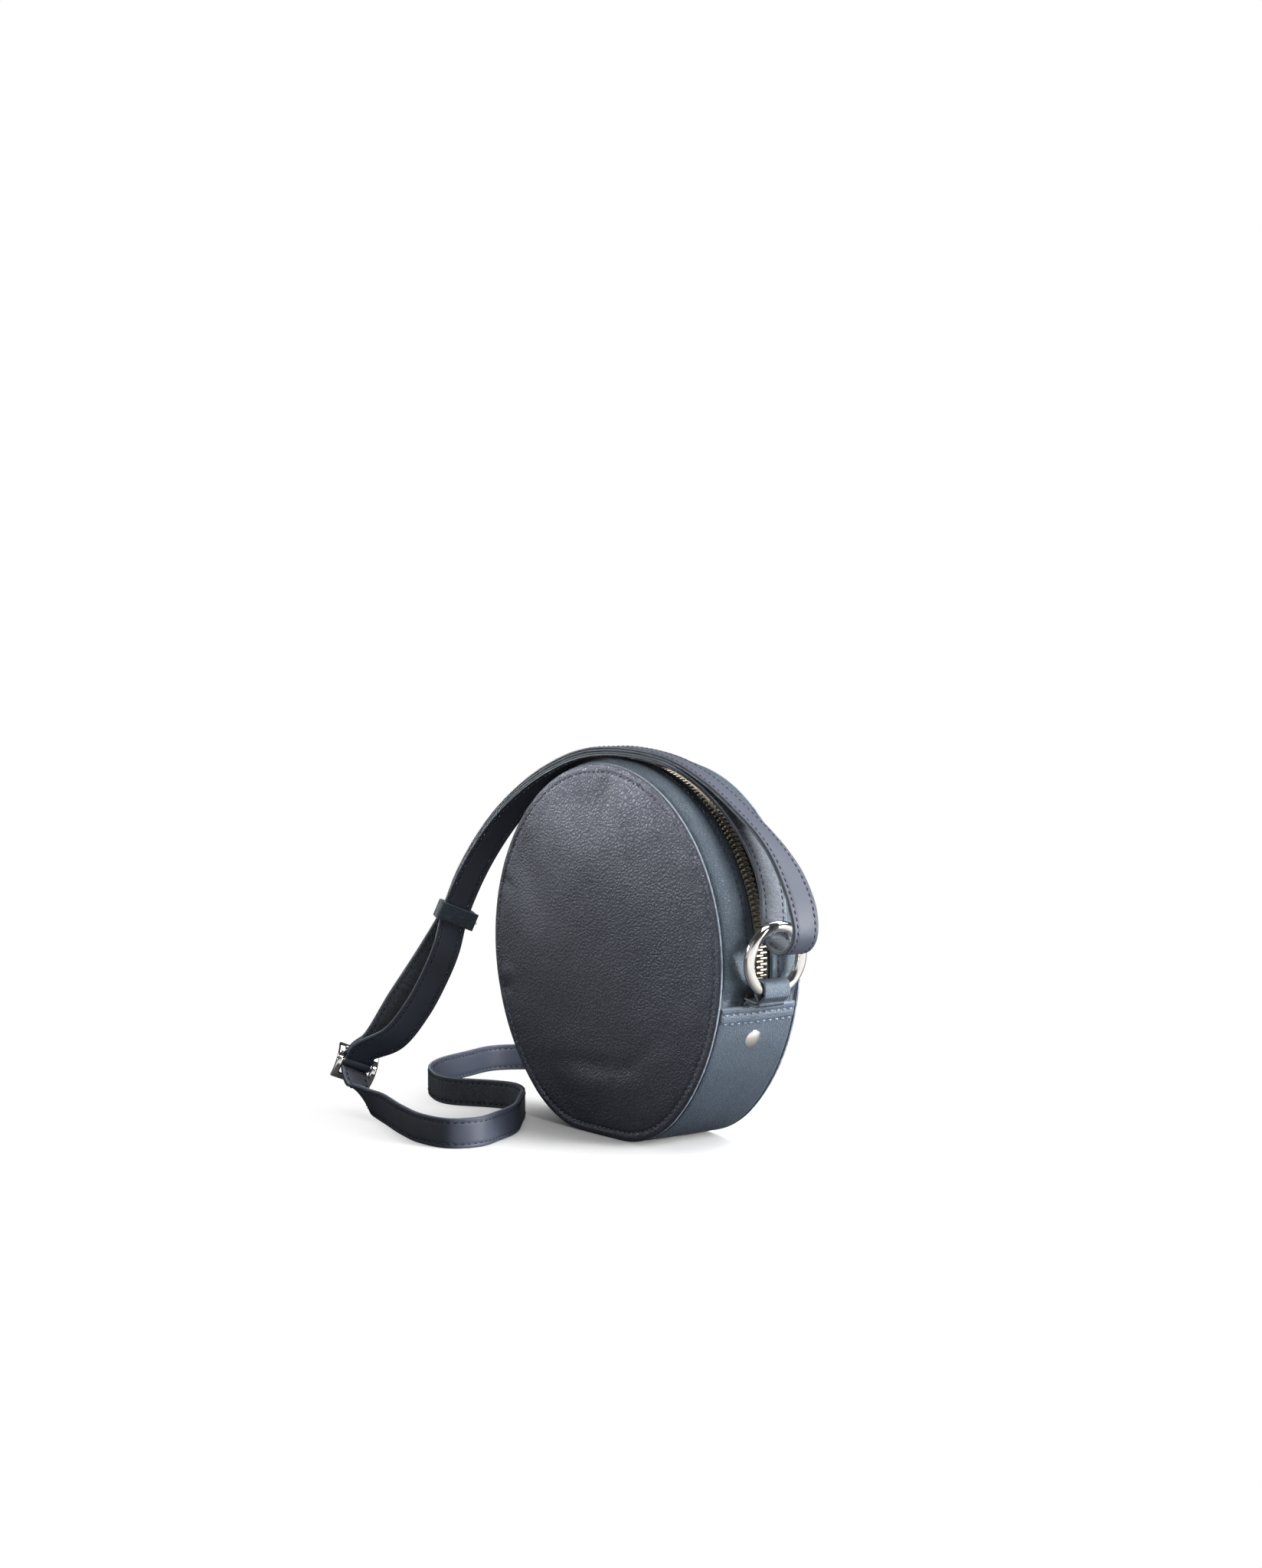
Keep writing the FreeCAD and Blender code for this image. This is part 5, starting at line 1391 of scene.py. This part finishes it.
SLEEVE_PILLOW, SLEEVE_SOFT, SLEEVE_SIDE = 0.05 * MM, 0.3 * MM, 0.8 * MM


def mirrored(points):
    """The points of a section's other side, in turn."""
    return [(-x, y) for x, y in points[::-1]]


def layer_section(half_width, low, high, inset, face):
    """One layer's section and cut edges: pillowed, drawn in along the stitches, soft at its edges."""
    outer, inner, sign = (low, high, -1) if face else (high, low, 1)
    shares = np.linspace(-1, 1, SKIN_COLUMNS)
    x = shares * (half_width - SKIN_MARGIN)
    pillow = PILLOW * np.clip(1 - (x / (half_width - inset)) ** 2, 0, 1)
    sink = STITCH_SINK * hump(np.abs(x) - (half_width - inset), STITCH_SINK_REACH)
    skin = np.stack([x, outer + sign * (pillow - sink)], -1)
    side = [(half_width, outer - sign * SIDE_OUTER), (half_width, inner + sign * SIDE_INNER),
            (half_width - BACK_MARGIN, inner)]
    section = np.concatenate([skin, side, [(0.0, inner)], mirrored(side)])
    return section, np.concatenate([np.abs(shares) == 1, BACK_EDGE])


class BAG_OT_strap(bpy.types.Operator):
    """Two-layer strap, doubled over the bag, with its stitches"""

    bl_idname = "bag.strap"
    bl_label = "Strap"

    def execute(self, context):
        self.route = route = StrapRoute()
        names = ("loop_start", "loop_end", "buckle", "tail_lies", "tail_rises")
        cuts = [0, *(route.starts[route.marks[name]] for name in names), len(route.place) - 1]
        at, keeper = route.place[cuts], route.keeper_inner
        ring_right, ring_left = (upright(ring_far(side), 0.0) for side in ("right", "left"))
        doubled, tail = "strap_doubled_", "strap_tail_"
        parts = [
            ("strap_inner_run", [doubled], ("bag", "buckle", keeper, route.bar)),
            ("strap_ring_loop", [doubled], ("bag", "ring_right", at[1], ring_right)),
            ("strap_outer_run", [doubled], ("bag", "buckle", keeper, at[3])),
            ("strap_tail_lead", [doubled, tail], ("buckle", "bag", at[3], at[4])),
            ("strap_tail_floor", [tail], None),
            ("strap_tail_end", [tail], ("bag", "ring_left", at[5], ring_left)),
        ]
        for (name, nodes, bend), first, last in zip(parts, cuts, cuts[1:]):
            span = slice(first, last + 1)
            for face, label in ((True, "face"), (False, "lining")):
                self.layer("%s_%s" % (name, label), face, span, [node + label for node in nodes], bend)
                self.stitches("%s_%s_stitches" % (name, label), face, span, bend)
        self.sleeve()
        return {"FINISHED"}

    def settle(self, piece, bend):
        if bend is None:
            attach(piece, "bag")
        else:
            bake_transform(piece)

    def skin(self, span, x, face):
        """Wrinkles on the lining side, slight waves on the good side."""
        along, across = self.route.along[span], x * WRINKLE_STRETCH_SHARE
        if face:
            return FACE_WAVE * ripple_along(along, across, FACE_WAVE_LENGTH, 61)
        fine = ripple_along(along, across, FINE_FOLD_LENGTH, 65)
        return strap_sizes().wrinkle * (ripple_along(along, across, FOLD_LENGTH, 63) + FINE_FOLD_SHARE * fine)

    def layer(self, name, face, span, nodes, bend):
        sizes, route = strap_sizes(), self.route
        low, high = (-sizes.layer, 0.0) if face else (0.0, sizes.layer)
        section, edge = layer_section(sizes.width / 2, low, high, sizes.stitch_inset, face)
        place, width, up = route.place[span], route.width[span], route.up[span]
        heights = np.broadcast_to(section[:, 1], (len(place), len(section))).copy()
        for column, x in enumerate(section[:SKIN_COLUMNS, 0]):
            loose = np.clip((sizes.width / 2 - sizes.stitch_inset - abs(x)) / WRINKLE_CALM, 0, 1)
            if loose > 0:
                heights[:, column] += loose * self.skin(span, x, face)
        grid = place[:, None] + width[:, None] * section[:, :1] + up[:, None] * heights[..., None]
        lay = lay_grid(route.along[span], run_length(section))
        piece = tube_piece(name, grid, lay, strap_leather() if face else strap_back_leather(), edge)
        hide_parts(*nodes)
        self.settle(piece, bend)

    def stitches(self, name, face, span, bend):
        sizes, route = strap_sizes(), self.route
        outward = (-1 if face else 1) * route.up[span]
        middle = route.place[span] + outward * (sizes.layer - STITCH_SINK)
        for side, label in ((-1, "a"), (1, "b")):
            line = middle + route.width[span] * side * (sizes.width / 2 - sizes.stitch_inset)
            piece = stitch_row("%s_%s" % (name, label), line, outward, sizes.stitch_pitch, STRAP_THREAD,
                               sewing_thread())
            self.settle(piece, bend)

    def sleeve(self):
        """The sewn end's leather round the buckle bar."""
        route, sizes = self.route, strap_sizes()
        turns = np.linspace(0, 360, SLEEVE_STEPS, endpoint=False)
        one = unit(np.cross(route.bar_way, -DOWN))
        two = np.cross(route.bar_way, one)
        reach, outer, inner = sizes.width / 2, route.sleeve, route.sleeve - sizes.layer
        half = [(reach - SLEEVE_SOFT, outer), (reach, outer - SLEEVE_SOFT), (reach, outer - SLEEVE_SIDE),
                (reach - BACK_MARGIN, inner)]
        *other, start = mirrored(half)
        profile = np.array([start, (0.0, outer + SLEEVE_PILLOW), *half, (0.0, inner), *other])
        way = heading(turns)
        spokes = one * way[:, :1] + two * way[:, 1:]
        grid = route.bar + route.bar_way * profile[None, :, :1] + spokes[:, None] * profile[None, :, 1:]
        lay = lay_grid(np.radians(turns) * outer, run_length(profile))
        piece = tube_piece("strap_bar_sleeve", grid, lay, strap_leather(), SLEEVE_EDGE, ring=True)
        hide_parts("strap_doubled_face")
        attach(piece, "buckle")


# Keeper

KEEPER_LENGTH, KEEPER_LEATHER, KEEPER_FLAP, KEEPER_SLACK = 9 * MM, 1.3 * MM, 1.2 * MM, 1.2 * MM
KEEPER_BEND, KEEPER_BOW, KEEPER_LAP = 1.6 * MM, 0.15 * MM, 0.2 * MM
KEEPER_CORNER, KEEPER_STEP, KEEPER_CURVE_STEPS = 0.5 * MM, 0.8 * MM, 10
KEEPER_WAVE, KEEPER_WAVE_LENGTH = 0.12 * MM, 6 * MM
BEND_SHARE = 0.35


class BAG_OT_keeper(bpy.types.Operator):
    """Leather keeper round both runs of the strap"""

    bl_idname = "bag.keeper"
    bl_label = "Keeper"

    def execute(self, context):
        route = StrapRoute()
        middle, width = route.on_bag(PAIR_ROWS[0], 1)
        above = route.on_bag(PAIR_ROWS[1], 1)[0]
        below = (route.in_space(INNER_DROP[-1])[0] + route.in_space(OUTER_DROP[0])[0]) / 2
        along = unit(above - below)
        across = square_to(along, width)
        out = np.cross(along, across)
        flat = curve_through(self.corners(), KEEPER_CURVE_STEPS)
        line = middle + across * flat[:, :1] + out * flat[:, 1:]
        up = np.cross(unit(np.gradient(line, axis=0)), along)
        section = divided(rounded_section(KEEPER_LENGTH / 2, KEEPER_LEATHER / 2, KEEPER_CORNER), KEEPER_STEP)
        round_strap = run_length(line)
        wave = KEEPER_WAVE * ripple_along(round_strap, 0.0, KEEPER_WAVE_LENGTH, 71)
        heights = section[None, :, 1:] + wave[:, None, None]
        grid = line[:, None] + along * section[None, :, :1] + up[:, None] * heights
        edge = 0.6 * cut_sides(section, KEEPER_LENGTH)
        lay = lay_grid(round_strap, run_length(section))
        keeper = tube_piece("strap_keeper_leather", grid, lay, shell_leather(), edge)
        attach(keeper, "keeper")
        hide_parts("strap_keeper")
        return {"FINISHED"}

    def corners(self):
        """The keeper's line round the two runs, from the tip of its flap to its end under the flap."""
        sizes = strap_sizes()
        room = KEEPER_SLACK + KEEPER_LEATHER / 2
        wide, high = sizes.width / 2 + room, 2 * sizes.layer + sizes.gap / 2 + room
        tip = sizes.width / 2 + KEEPER_SLACK + KEEPER_LEATHER + KEEPER_FLAP
        bend, turn = KEEPER_BEND, BEND_SHARE * KEEPER_BEND
        return [
            (tip, -high), (wide, -high), (0.0, -high - KEEPER_BOW),
            (-wide + bend, -high), (-wide + turn, -high + turn), (-wide, -high + bend),
            (-wide, high - bend), (-wide + turn, high - turn), (-wide + bend, high),
            (0.0, high + KEEPER_BOW),
            (wide - bend, high), (wide - turn, high - turn), (wide, high - bend),
            (wide, 0.0), (wide + KEEPER_LAP, -high + KEEPER_LEATHER),
        ]


# Stage

CAMERA_PLACE = (0.9426, -0.7292, 0.2300)
CAMERA_AIM = (-0.0103, 0.0019, 0.1679)
CAMERA_LENS = 56.73
# Place, aim and size of each light
LIGHTS = {
    "top_light": ((0.10, 0.30, 1.30), (0.0, 0.0, 0.05), 1.2),
    "side_light": ((1.19, 0.48, 0.55), (0.0, 0.0, 0.08), 0.6),
    "low_light": ((0.50, 0.31, 0.05), (0.06, 0.0, 0.01), 0.16),
    "back_light": ((0.45, 0.70, 1.10), (0.0, 0.0, 0.10), 0.8),
    "front_light": ((-0.95, -0.74, 0.56), (0.0, -0.03, 0.185), 0.56),
}
LOW_SPREAD, GLEAM_SPREAD, GLEAM_HEIGHT = math.radians(30), math.radians(17), 0.2
FLOOR_REACH = 4.0
FLOOR_MIDDLE, FLOOR_NEAR, FLOOR_FAR = (0.04, 0.01, 0.0), 0.07, 0.23
FLOOR_BOUNCE_SHARE, FLOOR_GLOW = 0.13, 0.01
FLOOR_MIRROR, FLOOR_MIRROR_FROM, FLOOR_MIRROR_TO = 0.9, 0.08, 0.24
MIRRORED_SHARE, MIRRORED_FRONT = 0.25, 0.50
# Where the mirrored surround begins and ends to brighten, by its direction
BRIGHT_LOW, BRIGHT_RIGHT, BRIGHT_BEHIND, BRIGHT_FRONT = (0.35, 0.12), (0.1, 0.75), (0.3, 0.8), (-0.66, -0.92)
WHITE = (1.0, 1.0, 1.0, 1.0)


def aimed(place, aim):
    return (Vector(aim) - Vector(place)).to_track_quat("-Z", "Y").to_euler()


class BAG_OT_stage(bpy.types.Operator):
    """Floor, lights, surround and camera"""

    bl_idname = "bag.stage"
    bl_label = "Stage"

    def execute(self, context):
        scene = context.scene
        scene.view_settings.view_transform = "Standard"
        self.floor(scene)
        self.surround(scene)
        for name, (place, aim, size) in LIGHTS.items():
            lamp = bpy.data.lights.new(name, "AREA")
            lamp.size = size
            lamp.energy = getattr(scene.bag_stage, name)
            self.stand(scene, name, lamp, place, aim)
        self.shape_low_light(scene.objects["low_light"])
        self.shape_gleam(scene.objects["front_light"])
        camera = bpy.data.cameras.new("camera")
        camera.lens = CAMERA_LENS
        scene.camera = self.stand(scene, "camera", camera, CAMERA_PLACE, CAMERA_AIM)
        return {"FINISHED"}

    def stand(self, scene, name, data, place, aim):
        holder = bpy.data.objects.new(name, data)
        holder.location = place
        holder.rotation_euler = aimed(place, aim)
        scene.collection.objects.link(holder)
        return holder

    def shape_low_light(self, low):
        low.data.spread = LOW_SPREAD
        low.visible_camera = False

    def shape_gleam(self, gleam):
        """A narrow light that only shows as a gleam on the front panel."""
        gleam.data.shape = "RECTANGLE"
        gleam.data.size_y = GLEAM_HEIGHT
        gleam.data.spread = GLEAM_SPREAD
        gleam.data.use_shadow = False
        gleam.visible_diffuse = False

    def seen(self, tree):
        """Masks for rays that show the stage itself and for rays that mirror it."""
        path = add(tree, "ShaderNodeLightPath").outputs
        return path["Is Camera Ray"], path["Is Glossy Ray"]

    def surround(self, scene):
        """White to the camera, an even light on the bag, and bright sides for what mirrors it."""
        scene.world = world = bpy.data.worlds.new("surround")
        world.use_nodes = True
        tree = world.node_tree
        camera_ray, glossy_ray = self.seen(tree)
        base = scene.bag_stage.surround
        place = add(tree, "ShaderNodeTexCoord").outputs["Generated"]
        way = add(tree, "ShaderNodeSeparateXYZ", {0: place}).outputs
        low = spread(tree, way["Z"], *BRIGHT_LOW)
        right, behind = spread(tree, way["X"], *BRIGHT_RIGHT), spread(tree, way["Y"], *BRIGHT_BEHIND)
        bright = math_node(tree, "MAXIMUM", right, behind)
        bright = math_node(tree, "MULTIPLY_ADD", bright, low, MIRRORED_SHARE * base)
        front = spread(tree, way["Y"], *BRIGHT_FRONT, 0.0, MIRRORED_FRONT)
        bright = math_node(tree, "ADD", front, bright)
        lit = add(tree, "ShaderNodeMix", {0: glossy_ray, 2: base, 3: bright}).outputs[0]
        strength = add(tree, "ShaderNodeMix", {0: camera_ray, 2: lit, 3: 1.0}).outputs[0]
        link(tree, {"Color": WHITE, "Strength": strength}, tree.nodes["Background"])

    def floor(self, scene):
        """A pale card that keeps the shadow near the bag and is white further out."""
        material, tree, shader = new_finish("floor_card")
        tree.nodes.remove(shader)
        place = add(tree, "ShaderNodeTexCoord").outputs["Object"]
        values = {0: place, 1: FLOOR_MIDDLE}
        away = add(tree, "ShaderNodeVectorMath", values, operation="DISTANCE").outputs["Value"]
        values = {0: away, 1: FLOOR_NEAR, 2: FLOOR_FAR}
        far = add(tree, "ShaderNodeMapRange", values, interpolation_type="SMOOTHSTEP").outputs[0]
        camera_ray, glossy_ray = self.seen(tree)
        card = tuple(scene.bag_stage.floor_colour)
        tone = blend_colours(tree, camera_ray, dimmed(card, FLOOR_BOUNCE_SHARE), card)
        diffuse = add(tree, "ShaderNodeBsdfDiffuse", {"Color": tone}).outputs[0]
        side = add(tree, "ShaderNodeSeparateXYZ", {0: place}).outputs["X"]
        mirror = spread(tree, side, FLOOR_MIRROR_FROM, FLOOR_MIRROR_TO, 0.0, FLOOR_MIRROR)
        mirror = math_node(tree, "MULTIPLY", glossy_ray, mirror)
        strength = math_node(tree, "MULTIPLY_ADD", camera_ray, FLOOR_GLOW, mirror)
        glow = add(tree, "ShaderNodeEmission", {"Strength": strength}).outputs[0]
        near = add(tree, "ShaderNodeAddShader", {0: diffuse, 1: glow}).outputs[0]
        white = add(tree, "ShaderNodeEmission", {"Strength": 1.0}).outputs[0]
        share = math_node(tree, "MULTIPLY", far, camera_ray)
        whole = add(tree, "ShaderNodeMixShader", {0: share, 1: near, 2: white}).outputs[0]
        tree.links.new(whole, tree.nodes["Material Output"].inputs["Surface"])
        corners = np.array([(-1, -1, 0), (1, -1, 0), (1, 1, 0), (-1, 1, 0)]) * FLOOR_REACH
        floor = mesh_piece("floor", corners, [(0, 1, 2, 3)], corners[:, :2], np.zeros(4), material)


class BAG_PT_sidebar(bpy.types.Panel):
    """Lists the bag's sizes, finishes and pieces"""

    bl_idname = "BAG_PT_sidebar"
    bl_label = "Circle Bag"
    bl_space_type = "VIEW_3D"
    bl_region_type = "UI"
    bl_category = "Circle Bag"

    def draw(self, context):
        for title, group in SETTINGS.items():
            box = self.layout.box()
            box.label(text=title)
            for name in group[1].__annotations__:
                box.prop(getattr(context.scene, group[0]), name)
        for piece in PIECES:
            self.layout.operator(piece.bl_idname)


SETTINGS = {
    "Shell": ("bag_shell", BagShellSizes),
    "Strap": ("bag_strap", BagStrapSizes),
    "Finish": ("bag_finish", BagFinish),
    "Stage": ("bag_stage", BagStage),
}
PIECES = (
    BAG_OT_panels, BAG_OT_upper_gusset, BAG_OT_zip, BAG_OT_lower_gusset, BAG_OT_lining, BAG_OT_trims,
    BAG_OT_strap, BAG_OT_keeper, BAG_OT_stage,
)


def register():
    for name, group in SETTINGS.values():
        bpy.utils.register_class(group)
        setattr(bpy.types.Scene, name, PointerProperty(type=group))
    for piece in (*PIECES, BAG_PT_sidebar):
        bpy.utils.register_class(piece)


def unregister():
    for piece in (BAG_PT_sidebar, *reversed(PIECES)):
        bpy.utils.unregister_class(piece)
    for name, group in SETTINGS.values():
        delattr(bpy.types.Scene, name)
        bpy.utils.unregister_class(group)


def main():
    register()
    for piece in PIECES:
        group, name = piece.bl_idname.split(".")
        getattr(getattr(bpy.ops, group), name)()


if __name__ == "__main__":
    main()
